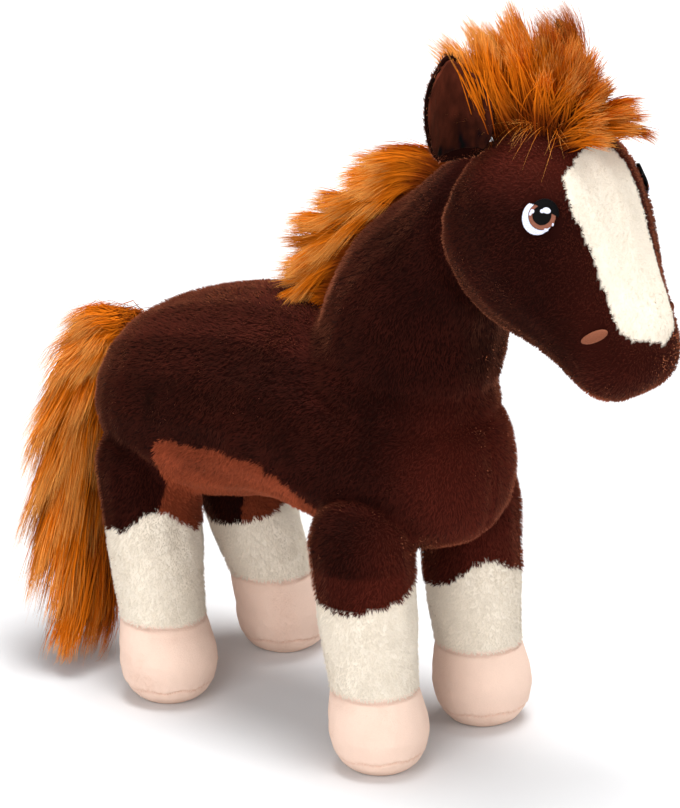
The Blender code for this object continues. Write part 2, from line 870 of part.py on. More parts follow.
def build_tail(body):
    """The plume of long pile that hangs from the rump and leans to the right."""
    rings = []
    spots = [
        place(across * tail_width, tail_root_reach + back * tail_width, up * tail_root_height)
        for across, back, up, _, _ in tail_shares
    ]
    for index, (_, _, _, wide, deep) in enumerate(tail_shares):
        before = spots[max(index - 1, 0)]
        after = spots[min(index + 1, len(spots) - 1)]
        way = (after - before).normalized()
        normal = X_AXIS.cross(way).normalized()
        rings.append(oval_ring(spots[index], normal, wide * tail_width / 2, deep * tail_depth / 2))
    form = mesh_object("tail", loft(rings), cutters)
    soften(form)
    combine(form, torso_form("tail_bed", -seam_gap), "DIFFERENCE")
    show(form)
    finish(form, "tail", material("long_pile_ginger", GINGER, 0.85), body)


def centre_over_origin():
    """Slide the horse and its cutters along y until the origin is under the middle of its length."""
    bpy.context.view_layer.update()
    graph = bpy.context.evaluated_depsgraph_get()
    reaches = []
    for thing in parts.objects:
        if thing.type == "MESH":
            solid = thing.evaluated_get(graph)
            reaches += [(solid.matrix_world @ Vector(corner)).y for corner in solid.bound_box]
    middle = (min(reaches) + max(reaches)) / 2
    for thing in bpy.data.objects:
        if thing.parent is None:
            thing.location.y -= middle


def main():
    """Build every body from the torso outwards."""
    torso = pivot("torso_origin", Vector((0, 0, 0)))
    legs = [Leg(side, pair) for pair in ("front", "hind") for side in (-1, 1)]
    build_torso(legs, torso)
    for leg in legs:
        build_leg(leg, pivot(f"hip_{leg.name}", leg.hip, torso))
    neck = pivot("neck_bend_axis", neck_centre, torso)
    build_neck(neck)
    build_mane(neck)
    head = pivot("head_turn_axis", poll_centre, neck)
    build_head(head)
    build_forelock(head)
    for side, end in ((-1, "right"), (1, "left")):
        ear = pivot(f"ear_base_{end}", ear_frame(side).translation, head)
        build_ear(side, end, ear)
    tail = pivot("tail_root", place(0, tail_root_reach, tail_root_height), torso)
    build_tail(tail)
    centre_over_origin()


main()
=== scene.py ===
"""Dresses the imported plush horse: sewn skins, short pile, long hair, stitched eyes and padded hooves."""

import json
import math

import bpy
import numpy as np
from bpy.props import FloatProperty, FloatVectorProperty, IntProperty, PointerProperty
from bpy.types import Operator, Panel, PropertyGroup
from mathutils import Matrix, Vector
from mathutils.bvhtree import BVHTree


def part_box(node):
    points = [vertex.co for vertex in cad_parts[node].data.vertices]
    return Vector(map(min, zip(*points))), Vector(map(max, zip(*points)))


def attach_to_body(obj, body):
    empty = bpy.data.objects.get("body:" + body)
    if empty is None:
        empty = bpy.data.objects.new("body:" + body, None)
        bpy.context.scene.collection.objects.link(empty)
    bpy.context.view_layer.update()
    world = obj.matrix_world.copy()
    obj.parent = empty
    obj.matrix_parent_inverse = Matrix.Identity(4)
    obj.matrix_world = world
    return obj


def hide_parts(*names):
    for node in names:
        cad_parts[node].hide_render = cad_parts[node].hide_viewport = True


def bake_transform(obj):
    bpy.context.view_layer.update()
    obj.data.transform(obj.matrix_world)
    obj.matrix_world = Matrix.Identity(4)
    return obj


bl_info = {
    "name": "Plush horse dressing",
    "version": (1, 0, 0),
    "blender": (4, 5, 0),
    "location": "View3D > Sidebar > Plush Horse",
    "description": "Dresses the packed plush horse with pile, long hair, stitched eyes and padded hooves",
    "category": "Object",
}

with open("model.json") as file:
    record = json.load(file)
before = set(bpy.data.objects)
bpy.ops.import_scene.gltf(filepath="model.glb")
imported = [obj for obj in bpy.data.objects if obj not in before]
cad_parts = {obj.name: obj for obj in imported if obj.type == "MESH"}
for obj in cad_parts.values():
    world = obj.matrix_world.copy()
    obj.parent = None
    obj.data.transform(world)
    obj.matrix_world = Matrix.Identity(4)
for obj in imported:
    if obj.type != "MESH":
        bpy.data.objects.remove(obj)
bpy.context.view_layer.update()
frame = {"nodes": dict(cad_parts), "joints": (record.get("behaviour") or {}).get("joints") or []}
joints = {joint["name"]: joint for joint in frame["joints"]}
legs = ("front_right", "front_left", "hind_right", "hind_left")
made = {}

# The cloth of each CAD node that shows, in the order of the cloth list.
cloths = ("brown", "light", "cream", "peach")
node_cloth = {
    "body_panel_right": "brown",
    "body_panel_left": "brown",
    "belly_gusset": "light",
    "neck_skin": "brown",
    "cheek_panel_right": "brown",
    "cheek_panel_left": "brown",
    "forehead_panel": "brown",
    "blaze_panel": "cream",
    "chin_gusset": "light",
}
for leg in legs:
    node_cloth[f"leg_skin_{leg}"] = "brown"
    node_cloth[f"sock_{leg}"] = "cream"
    node_cloth[f"hoof_{leg}"] = "peach"
    node_cloth[f"sole_{leg}"] = "peach"
shown_nodes = tuple(node_cloth)
filling_nodes = ("body_stuffing", "neck_stuffing", "head_stuffing") + tuple(f"leg_stuffing_{leg}" for leg in legs)

# Where the skin is cut into a low and a high neck piece, measured along the neck from the neck joint, where the head
# takes over, and where a leg leaves the torso.
neck_middle = np.array(joints["neck_bend"]["pos_m"])
neck_way = np.array([0.0, -0.5145, 0.8575])
neck_start, neck_end = 0.008, 0.040
poll = np.array(joints["head_turn"]["pos_m"])
poll_way = np.array(joints["head_turn"]["axis"])
head_start, head_end = -0.040, -0.014
leg_start, leg_end = 0.078, 0.062

# Each leg's sock: height of its top edge, its slope towards the viewer's right and towards the viewer,
# and a peak's place round the leg in degrees, its height and its width.
sock_edges = {
    "front_right": (0.0695, 0.0030, -0.0045, 0.0, 0.0000, 40.0),
    "front_left": (0.0565, 0.0020, 0.0000, 15.0, 0.0095, 38.0),
    "hind_right": (0.0630, 0.0000, 0.0000, 8.0, 0.0100, 34.0),
    "hind_left": (0.0575, 0.0040, -0.0020, 0.0, 0.0000, 40.0),
}
# The blaze: its middle and how far it reaches each way from there at each height.
blaze_heights = (0.1765, 0.1785, 0.1800, 0.1830, 0.1890, 0.1970, 0.2110, 0.2220, 0.2290, 0.2340, 0.2388, 0.2410, 0.2430)
blaze_reaches = (-0.002, 0.0035, 0.0095, 0.0142, 0.0144, 0.0137, 0.0137, 0.0148, 0.0146, 0.0140, 0.0092, 0.0045, -0.002)
blaze_middles = (0.0, 0.0, 0.0, 0.0, -0.0004, -0.0014, -0.0030, -0.0040, -0.0042, -0.0036, -0.0016, -0.0006, 0.0)
# The pale belly cloth: how high it comes at each place along the body, and the seam behind it on the thigh.
belly_places = (-0.014, -0.004, 0.010, 0.029, 0.050, 0.064)
belly_tops = (0.090, 0.101, 0.107, 0.108, 0.106, 0.104)
thigh_heights = (0.066, 0.084, 0.102, 0.122)
thigh_seams = (0.071, 0.068, 0.060, 0.053)
# The hoof's reach from the leg's middle at shares of its height.
hoof_levels = (0.0, 0.05, 0.12, 0.25, 0.45, 0.65, 0.85, 0.97, 1.06, 1.25, 1.5)
hoof_swell = (0.60, 0.74, 0.86, 0.975, 1.04, 1.02, 0.965, 0.925, 0.925, 0.965, 1.0)
view_right = np.array([0.660, -0.7513])
view_near = np.array([-0.7513, -0.660])
hoof_height = 0.031
# The skin: how far the solids are swollen and drawn back, the grid that joins them and the rounds of smoothing.
skin_swell, skin_rest = 0.0007, 0.0002
skin_grid = 0.0015
skin_rounds = 34
ankle_height = 0.060
# Locks in one piece of pile at most.
piece_locks = 62000


def tone(red, green, blue):
    """A colour as seen on a screen, 0 to 255, in linear numbers."""
    shares = [value / 255 for value in (red, green, blue)]
    return tuple(s / 12.92 if s <= 0.04045 else ((s + 0.055) / 1.055) ** 2.4 for s in shares)


def length_setting(name, description, value):
    return FloatProperty(name=name, description=description, default=value, unit="LENGTH")


def colour_setting(name, description, value):
    return FloatVectorProperty(name=name, description=description, subtype="COLOR", default=value)


def power_setting(name, description, value):
    return FloatProperty(name=name, description=description, default=value, unit="POWER")


def strands_setting(name, description, value):
    return IntProperty(name=name, description=description, default=value)


class PileSettings(PropertyGroup):
    body_length: length_setting("Body pile", "Length of the pile on the brown panels", 0.0022)
    cream_length: length_setting("Cream pile", "Length of the pile on the blaze and socks", 0.0015)
    nap_length: length_setting("Hoof nap", "Length of the nap on the hooves", 0.0006)
    strand_width: length_setting("Lock width", "Width of one lock of pile at its root", 0.00038)
    density: FloatProperty(
        name="Locks per square millimetre", description="How closely the pile stands", default=2.3, min=0.1
    )
    brown: colour_setting("Chestnut", "Colour of the dark pile", tone(38, 9, 5))
    light: colour_setting("Light brown", "Colour of the belly and chin", tone(132, 60, 36))
    cream: colour_setting("Cream", "Colour of the blaze and socks", tone(247, 236, 219))
    peach: colour_setting("Peach", "Colour of the hooves", tone(242, 212, 194))


class HairSettings(PropertyGroup):
    forelock_strands: strands_setting("Forelock strands", "Strands in the forelock", 12000)
    mane_strands: strands_setting("Mane strands", "Strands in the mane", 12000)
    tail_strands: strands_setting("Tail strands", "Strands in the tail", 15000)
    strand_width: length_setting("Strand width", "Width of a strand of long hair", 0.00042)
    root: colour_setting("Root", "Colour near the skin", tone(118, 48, 4))
    middle: colour_setting("Middle", "Colour along the hair", tone(193, 98, 11))
    tip: colour_setting("Tip", "Colour at the ends", tone(228, 160, 82))


class EyeSettings(PropertyGroup):
    width: length_setting("Eye width", "Width of the stitched eye", 0.0121)
    nostril_length: length_setting("Nostril length", "Length of the stitched nostril", 0.0098)
    black: colour_setting("Lid", "Lid and pupil thread", tone(4, 3, 4))
    iris: colour_setting("Iris", "Iris thread", tone(140, 88, 70))
    white: colour_setting("White", "Thread of the white", tone(222, 224, 248))
    nostril: colour_setting("Nostril", "Nostril thread", tone(138, 82, 60))


class StageSettings(PropertyGroup):
    floor: colour_setting("Floor", "Floor colour", (0.78, 0.78, 0.79))
    key_power: power_setting("Main lamp", "Power of the large lamp", 33.0)
    fill_power: power_setting("Fill lamp", "Power of the fill lamp", 8.0)
    rim_power: power_setting("Side lamp", "Power of the side lamp", 15.0)


def lengths(vectors):
    return np.sqrt((vectors * vectors).sum(-1, keepdims=True)) + 1e-12


def unit(vectors):
    return vectors / lengths(vectors)


def smooth_noise(points, size, seed):
    """A smooth number from -1 to 1 at each point, varying over the given size."""
    lattice = np.random.default_rng(seed).uniform(-1, 1, (32, 32, 32))
    spots = points / size + 512.0
    cells = np.floor(spots).astype(int)
    part = spots - cells
    part = part * part * (3 - 2 * part)
    total = np.zeros(len(points))
    for corner in range(8):
        step = np.array([corner & 1, corner >> 1 & 1, corner >> 2 & 1])
        weight = np.prod(np.where(step, part, 1 - part), axis=1)
        near = (cells + step) % 32
        total += weight * lattice[near[:, 0], near[:, 1], near[:, 2]]
    return total


def noise_vectors(points, size, seed):
    return np.stack([smooth_noise(points, size, seed + axis) for axis in range(3)], axis=1)


def node_arrays(names):
    """Corners, triangles and each triangle's number in names, of CAD nodes with their corners joined."""
    corners, faces, owners = [], [], []
    count = 0
    for index, name in enumerate(names):
        mesh = frame["nodes"][name].data
        mesh.calc_loop_triangles()
        places = np.empty(len(mesh.vertices) * 3, np.float32)
        mesh.vertices.foreach_get("co", places)
        places = places.reshape(-1, 3).astype(float)
        ids = np.empty(len(mesh.loop_triangles) * 3, np.int32)
        mesh.loop_triangles.foreach_get("vertices", ids)
        keys = np.round(places * 1e6).astype(np.int64)
        _, first, joined = np.unique(keys, axis=0, return_index=True, return_inverse=True)
        corners.append(places[first])
        faces.append(joined.reshape(-1)[ids].reshape(-1, 3) + count)
        owners.append(np.full(len(faces[-1]), index))
        count += len(first)
    return np.vstack(corners), np.vstack(faces), np.concatenate(owners)


def point_normals(points, faces):
    """Outward directions at the points of a mesh of triangles or quads."""
    across = np.cross(points[faces[:, 2]] - points[faces[:, 0]], points[faces[:, -1]] - points[faces[:, 1]])
    total = np.zeros_like(points)
    for column in range(faces.shape[1]):
        for axis in range(3):
            total[:, axis] += np.bincount(faces[:, column], across[:, axis], len(points))
    return unit(total)


def relax(points, faces, rounds):
    """Smooth a closed mesh without shrinking it."""
    start = faces.ravel()
    end = np.roll(faces, -1, axis=1).ravel()
    degree = np.bincount(start, minlength=len(points))[:, None]
    for _ in range(rounds):
        for share in (0.50, -0.52):
            middle = np.stack([np.bincount(start, points[end, axis], len(points)) for axis in range(3)], axis=1)
            points = points + share * (middle / degree - points)
    return points


def mesh_of(name, points, faces, smooth=True):
    """A mesh from arrays of points and of faces that all have as many corners."""
    mesh = bpy.data.meshes.new(name)
    corners = faces.shape[1]
    mesh.vertices.add(len(points))
    mesh.vertices.foreach_set("co", points.astype(np.float32).ravel())
    mesh.loops.add(faces.size)
    mesh.loops.foreach_set("vertex_index", faces.astype(np.int32).ravel())
    mesh.polygons.add(len(faces))
    mesh.polygons.foreach_set("loop_start", np.arange(0, faces.size, corners, dtype=np.int32))
    mesh.update(calc_edges=True)
    mesh.polygons.foreach_set("use_smooth", np.full(len(faces), smooth))
    return mesh


def show(name, mesh, material):
    piece = bpy.data.objects.new(name, mesh)
    bpy.context.scene.collection.objects.link(piece)
    if material:
        mesh.materials.append(material)
    return piece


def read_quads(mesh):
    points = np.empty(len(mesh.vertices) * 3, np.float32)
    mesh.vertices.foreach_get("co", points)
    ids = np.empty(len(mesh.loops), np.int32)
    mesh.loops.foreach_get("vertex_index", ids)
    return points.reshape(-1, 3).astype(float), ids.reshape(-1, 4)


def evenly_meshed(points, faces, size):
    """The outer surface of several closed forms as one mesh of even quads."""
    form = show("form", mesh_of("form", points, faces), None)
    even = form.modifiers.new("even", "REMESH")
    even.mode = "VOXEL"
    even.voxel_size = size
    result = form.evaluated_get(bpy.context.evaluated_depsgraph_get()).to_mesh()
    points, quads = read_quads(result)
    bpy.data.objects.remove(form)
    group = np.arange(len(points))
    start, end = quads.ravel(), np.roll(quads, -1, axis=1).ravel()
    while True:
        low = np.minimum(group[start], group[end])
        after = group.copy()
        np.minimum.at(after, start, low)
        np.minimum.at(after, end, low)
        after = after[after]
        if (after == group).all():
            break
        group = after
    outer = group[points[:, 2].argmax()]
    quads = quads[group[quads[:, 0]] == outer]
    used, numbers = np.unique(quads, return_inverse=True)
    return points[used], numbers.reshape(-1, 4)


def subdivided(points, faces, levels):
    """A form's smooth subdivision into quads."""
    rough = show("rough", mesh_of("rough", points, faces), None)
    finer = rough.modifiers.new("finer", "SUBSURF")
    finer.levels = finer.render_levels = levels
    fine = read_quads(rough.evaluated_get(bpy.context.evaluated_depsgraph_get()).to_mesh())
    bpy.data.objects.remove(rough)
    return fine


def leg_axis(leg, heights):
    """The middle of a leg at the given heights, as x and y."""
    hip = np.array(joints[f"leg_swing_{leg}"]["pos_m"])
    low, high = (np.array(corner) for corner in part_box(f"hoof_{leg}"))
    foot = (low + high) / 2
    share = np.clip((heights - foot[2]) / (hip[2] - foot[2]), 0, 1)[:, None]
    return foot[:2] * (1 - share) + hip[:2] * share


def sock_top(leg, points):
    """Height of the sock's top edge at each point round a leg."""
    base, right_slope, near_slope, peak_at, peak, peak_width = sock_edges[leg]
    out = points[:, :2] - leg_axis(leg, points[:, 2])
    out = out / lengths(out)
    right, near = out @ view_right, out @ view_near
    turn = np.degrees(np.arctan2(right, near)) - peak_at
    turn = (turn + 180) % 360 - 180
    ragged = 0.0007 * smooth_noise(points, 0.0035, 61) + 0.0005 * smooth_noise(points, 0.0015, 62)
    return base + right_slope * right + near_slope * near + peak * np.exp(-((turn / peak_width) ** 2)) + ragged


def skin():
    """The horse's whole skin, smooth and closed, with a search tree over the CAD panels."""
    if "skin" in made:
        return made["skin"]
    panel_corners, panel_faces, panel_owner = node_arrays(shown_nodes)
    tree = BVHTree.FromPolygons(panel_corners.tolist(), panel_faces.tolist())
    corners, faces, _ = node_arrays(shown_nodes + filling_nodes)
    corners = corners + skin_swell * point_normals(corners, faces)
    points, quads = evenly_meshed(corners, faces, skin_grid)
    points = relax(points, quads, skin_rounds)
    found = [tree.find_nearest(point)[2] for point in points.tolist()]
    owner = panel_owner[np.array(found)]
    points = points - creases(points, quads, owner)[:, None] * point_normals(points, quads)
    points = points - (skin_swell - skin_rest) * point_normals(points, quads)
    points = shifted(points)
    points = tucked_belly(points, owner)
    points = rounded_hooves(points, owner)
    points[:, 2] = np.maximum(points[:, 2], 0.0)
    made["skin"] = points, quads, tree, panel_owner
    return made["skin"]


def creases(points, quads, owner):
    """How far the skin is drawn in at each point along its seams."""
    head = np.array([name.startswith(("cheek", "fore", "blaze", "chin")) for name in shown_nodes])[owner]
    start = quads.ravel()
    end = np.roll(quads, -1, axis=1).ravel()
    step = np.linalg.norm(points[start] - points[end], axis=1)
    total = np.zeros(len(points))
    cheek_seam = head[start] != head[end]
    plain_seam = (owner[start] != owner[end]) & ~cheek_seam & (points[start, 2] > 0.088)
    for seam, depth, width in ((cheek_seam, 0.0030, 0.0034), (plain_seam, 0.0007, 0.0016)):
        far = np.full(len(points), 1.0)
        far[start[seam]] = 0
        for _ in range(8):
            np.minimum.at(far, start, far[end] + step)
        total = np.maximum(total, depth * np.exp(-((far / width) ** 2)))
    return total * np.where(head, 0.45, 1.0)


def shifted(points):
    """Nudge the stuffing: the back of each cheek, and the jaw."""
    nudges = (
        ((0.024, -0.066, 0.203), (0.0, 0.0045, 0.0), 0.013),
        ((0.016, -0.103, 0.170), (0.0, 0.0010, 0.0030), 0.016),
    )
    folded = np.hstack([np.abs(points[:, :1]), points[:, 1:]])
    for centre, way, reach in nudges:
        weight = np.exp(-((folded - np.array(centre)) ** 2).sum(1) / (2 * reach**2))
        points = points + weight[:, None] * np.array(way)
    return points


def tucked_belly(points, owner):
    """Lift the belly into a soft arch between the legs."""
    torso = np.array([name.startswith(("body", "belly")) for name in shown_nodes])[owner]
    along = np.clip(1 - np.abs(points[:, 1] - 0.020) / 0.044, 0, 1)
    along = along * along * (3 - 2 * along)
    low = np.clip((0.112 - points[:, 2]) / 0.040, 0, 1)
    points[:, 2] += 0.0085 * along * low * torso
    return points


def rounded_hooves(points, owner):
    """Make the lower legs round, then swell the hooves to a dome and draw them in at the sock and the floor."""
    limb = leg_of(owner)
    for number, leg in enumerate(legs):
        mine = np.flatnonzero((limb == number) & (points[:, 2] < ankle_height))
        place = points[mine]
        axis = leg_axis(leg, place[:, 2])
        away = place[:, :2] - axis
        reach = lengths(away)[:, 0]
        turn = np.arctan2(away[:, 1], away[:, 0])
        height = place[:, 2] / ankle_height
        waves = [np.ones(len(mine))] + [wave(turn * times) for times in (1, 2) for wave in (np.cos, np.sin)]
        terms = np.stack([wave * height**power for wave in waves for power in range(4)], axis=1)
        side = reach > 0.8 * np.median(reach)
        fitted = terms @ np.linalg.lstsq(terms[side], reach[side], rcond=None)[0]
        share = np.clip((ankle_height - place[:, 2]) / 0.012, 0, 1) * side
        round_reach = reach * (1 - share) + fitted * share
        factor = np.interp(place[:, 2] / hoof_height, hoof_levels, hoof_swell)
        points[mine, :2] = axis + away * (factor * round_reach / reach)[:, None]
    return points


def nearest_nodes(points):
    """The number in shown_nodes of the panel nearest to each point."""
    _, _, tree, owner = skin()
    found = [tree.find_nearest(point)[2] for point in points.tolist()]
    return owner[np.array(found)]


def leg_of(owners):
    """Which leg each panel number belongs to, or -1."""
    table = np.full(len(shown_nodes), -1)
    for index, name in enumerate(shown_nodes):
        for number, leg in enumerate(legs):
            if name.endswith(leg) and not name.startswith("body"):
                table[index] = number
    return table[owners]


def cloth_at(points, owners):
    """The cloth of each point as a number in cloths."""
    brown, light, cream, peach = range(4)
    table = np.array([cloths.index(node_cloth[name]) for name in shown_nodes])
    cloth = table[owners]
    x, y, z = points.T
    ragged = 0.0008 * smooth_noise(points, 0.004, 63) + 0.0005 * smooth_noise(points, 0.0016, 64)
    face = np.array([name.startswith(("cheek", "fore", "blaze")) for name in shown_nodes])[owners]
    reach = np.interp(z, blaze_heights, blaze_reaches, left=-1, right=-1)
    middle = np.interp(z, blaze_heights, blaze_middles)
    blaze = face & (y < -0.098) & (np.abs(x - middle) + 0.35 * ragged < reach)
    cloth[face] = brown
    cloth[blaze] = cream
    limb = leg_of(owners)
    hind = np.array([leg.startswith("hind") for leg in legs] + [False])[limb]
    torso = np.array([name.startswith(("body", "belly")) for name in shown_nodes])[owners]
    edge = np.interp(y, belly_places, belly_tops, left=0, right=0) + 2 * ragged
    thigh = y < np.interp(z, thigh_heights, thigh_seams) + ragged
    cloth[(torso | hind) & thigh & (z < edge) & (y > belly_places[0])] = light
    for number, leg in enumerate(legs):
        here = limb == number
        part = cloth[here]
        part[part != light] = brown
        place = points[here]
        part[place[:, 2] < sock_top(leg, place)] = cream
        part[place[:, 2] < hoof_height] = peach
        cloth[here] = part
    return cloth


zones = ("torso", "neck_low", "neck_high", "head") + tuple(f"leg_{leg}" for leg in legs)


def zone_at(points, owners):
    """Which piece of the skin each point belongs to, as a number in zones."""
    along_neck = (points - neck_middle) @ neck_way
    along_poll = (points - poll) @ poll_way
    zone = np.zeros(len(points), int)
    zone[along_neck >= neck_start] = zones.index("neck_low")
    zone[along_neck >= neck_end + 0.001] = zones.index("neck_high")
    zone[(along_neck >= neck_end + 0.001) & (along_poll >= head_end)] = zones.index("head")
    limb = leg_of(owners)
    low = (limb >= 0) & (points[:, 2] < leg_start)
    zone[low] = zones.index(f"leg_{legs[0]}") + limb[low]
    return zone


def attach(piece, zone):
    """Join a torso or head piece to its body; a neck or leg piece only has its transform applied."""
    if zone in ("torso", "head"):
        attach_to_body(piece, zone)
    elif zone == "neck_low":
        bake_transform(piece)
    elif zone == "neck_high":
        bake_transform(piece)
    else:
        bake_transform(piece)
    return piece


def add_node(tree, kind, operation=None, **values):
    """A new node with its operation, and the values of sockets that nothing is linked to."""
    added = tree.nodes.new("ShaderNode" + kind)
    if operation:
        added.operation = operation
    for name, value in values.items():
        added.inputs[name.replace("_", " ")].default_value = value
    return added


def join(tree, *links):
    """Link sockets, each link given as node, output, node, input."""
    for start, output, end, entry in links:
        tree.links.new(start.outputs[output], end.inputs[entry])


def shader(name, roughness, sheen, sheen_tint):
    """A new cloth-like material, its nodes and its surface."""
    material = bpy.data.materials.new(name)
    material.use_nodes = True
    surface = material.node_tree.nodes["Principled BSDF"]
    surface.inputs["Roughness"].default_value = roughness
    surface.inputs["Specular IOR Level"].default_value = 0.04
    surface.inputs["Sheen Weight"].default_value = sheen
    surface.inputs["Sheen Roughness"].default_value = 0.40
    surface.inputs["Sheen Tint"].default_value = (*sheen_tint, 1)
    return material, material.node_tree, surface


def lock_material(name, stops, low, high, sheen, glow):
    """Pile or hair: coloured from root to tip, and lighter or darker from lock to lock."""
    if name in made:
        return made[name]
    material, tree, surface = shader(name, 0.75, sheen, glow)
    chart = add_node(tree, "UVMap")
    chart.uv_map = "OFBake"
    split = add_node(tree, "SeparateXYZ")
    ramp = add_node(tree, "ValToRGB")
    while len(ramp.color_ramp.elements) < len(stops):
        ramp.color_ramp.elements.new(0.5)
    for element, (place, colour) in zip(ramp.color_ramp.elements, stops):
        element.position = place
        element.color = (*colour, 1)
    spread = add_node(tree, "MapRange", To_Min=low, To_Max=high)
    shade = add_node(tree, "HueSaturation")
    join(
        tree,
        (chart, "UV", split, "Vector"),
        (split, "Y", ramp, "Fac"),
        (split, "X", spread, "Value"),
        (spread, "Result", shade, "Value"),
        (ramp, "Color", shade, "Color"),
        (shade, "Color", surface, "Base Color"),
    )
    made[name] = material
    return material


def cloth_material(name, depth, grain):
    """The woven backing under pile, or a short nap: a painted tint broken up by fine fibre grain."""
    if name in made:
        return made[name]
    material, tree, surface = shader(name, 0.9, 0.05, (0.9, 0.5, 0.3))
    tint = add_node(tree, "VertexColor")
    tint.layer_name = "cloth_tint"
    place = add_node(tree, "TexCoord")
    fibre = add_node(tree, "TexNoise", Scale=grain, Detail=4)
    cloud = add_node(tree, "TexNoise", Scale=90)
    spread = add_node(tree, "MapRange", To_Min=1 - depth, To_Max=1 + depth)
    both = add_node(tree, "Math", "ADD")
    halve = add_node(tree, "Math", "MULTIPLY")
    halve.inputs[1].default_value = 0.5
    shade = add_node(tree, "HueSaturation")
    bump = add_node(tree, "Bump", Distance=0.0003, Strength=0.5)
    join(
        tree,
        (place, "Object", fibre, "Vector"),
        (place, "Object", cloud, "Vector"),
        (fibre, "Fac", both, 0),
        (cloud, "Fac", both, 1),
        (both, "Value", halve, 0),
        (halve, "Value", spread, "Value"),
        (spread, "Result", shade, "Value"),
        (tint, "Color", shade, "Color"),
        (shade, "Color", surface, "Base Color"),
        (fibre, "Fac", bump, "Height"),
        (bump, "Normal", surface, "Normal"),
    )
    made[name] = material
    return material


def paint(mesh, colours):
    """Give each corner of a mesh its own tint."""
    layer = mesh.color_attributes.new("cloth_tint", "FLOAT_COLOR", "POINT")
    full = np.ones((len(colours), 4), np.float32)
    full[:, :3] = colours
    layer.data.foreach_set("color", full.ravel())


def cloth_colours():
    pile = bpy.context.scene.horse_pile
    return np.array([tuple(pile.brown), tuple(pile.light), tuple(pile.cream), tuple(pile.peach)])


def blades(name, roots, ways, bends, normals, sizes, widths, shades, material):
    """Short locks of pile: each a leaning blade of two parts, lit as the skin that it stands on."""
    count = len(roots)
    side = unit(np.cross(ways, normals))
    half = side * widths[:, None] / 2
    middle = roots + ways * sizes[:, None] * 0.5
    tip = middle + bends * sizes[:, None] * 0.5
    points = np.empty((count, 5, 3))
    points[:, 0] = roots - half
    points[:, 1] = roots + half
    points[:, 2] = middle + half * 0.8
    points[:, 3] = middle - half * 0.8
    points[:, 4] = tip
    start = np.arange(count)[:, None] * 5
    faces = np.concatenate([start + np.array([0, 1, 2]), start + np.array([0, 2, 3]), start + np.array([3, 2, 4])])
    mesh = mesh_of(name, points.reshape(-1, 3), faces)
    chart = np.empty((count, 5, 2), np.float32)
    chart[:, :, 0] = shades[:, None]
    chart[:, :, 1] = (0.0, 0.0, 0.5, 0.5, 1.0)
    lay_chart(mesh, chart.reshape(-1, 2), faces)
    blade_normals = np.cross(half, ways)
    blade_normals = unit(blade_normals * np.sign((blade_normals * normals).sum(1, keepdims=True)))
    lit = unit(normals * 0.75 + blade_normals * 0.45)
    mesh.normals_split_custom_set_from_vertices(np.repeat(lit, 5, axis=0).tolist())
    return show(name, mesh, material)


def lay_chart(mesh, chart, faces):
    """Store each point's place on the colour chart."""
    layer = mesh.uv_layers.new(name="OFBake")
    layer.data.foreach_set("uv", np.clip(chart, 0.01, 0.99)[faces.ravel()].ravel())


def lay_of(points):
    """The way that the pile was brushed: backwards and down, and down the legs."""
    way = np.zeros_like(points)
    way[:, 1] = 0.55
    way[:, 2] = -0.85
    below = points[:, 2] < 0.085
    way[below] = (0, 0.05, -1)
    forward = (points - poll) @ poll_way > head_end
    way[forward] = (0, 0.65, -0.35)
    return way


def pile_spots(points, quads, density, rng):
    """Evenly random spots on a skin: the place and the direction out of each."""
    corner = points[quads]
    area = np.linalg.norm(np.cross(corner[:, 2] - corner[:, 0], corner[:, 3] - corner[:, 1]), axis=1) / 2
    count = int(area.sum() * 1e6 * density)
    picked = np.searchsorted(np.cumsum(area), rng.uniform(0, area.sum(), count))
    picked = np.minimum(picked, len(quads) - 1)
    across, along = rng.uniform(0, 1, (2, count, 1))
    weights = ((1 - across) * (1 - along), across * (1 - along), across * along, (1 - across) * along)
    normals = point_normals(points, quads)
    place = sum(points[quads[picked, index]] * weights[index] for index in range(4))
    out = unit(sum(normals[quads[picked, index]] * weights[index] for index in range(4)))
    return place, out


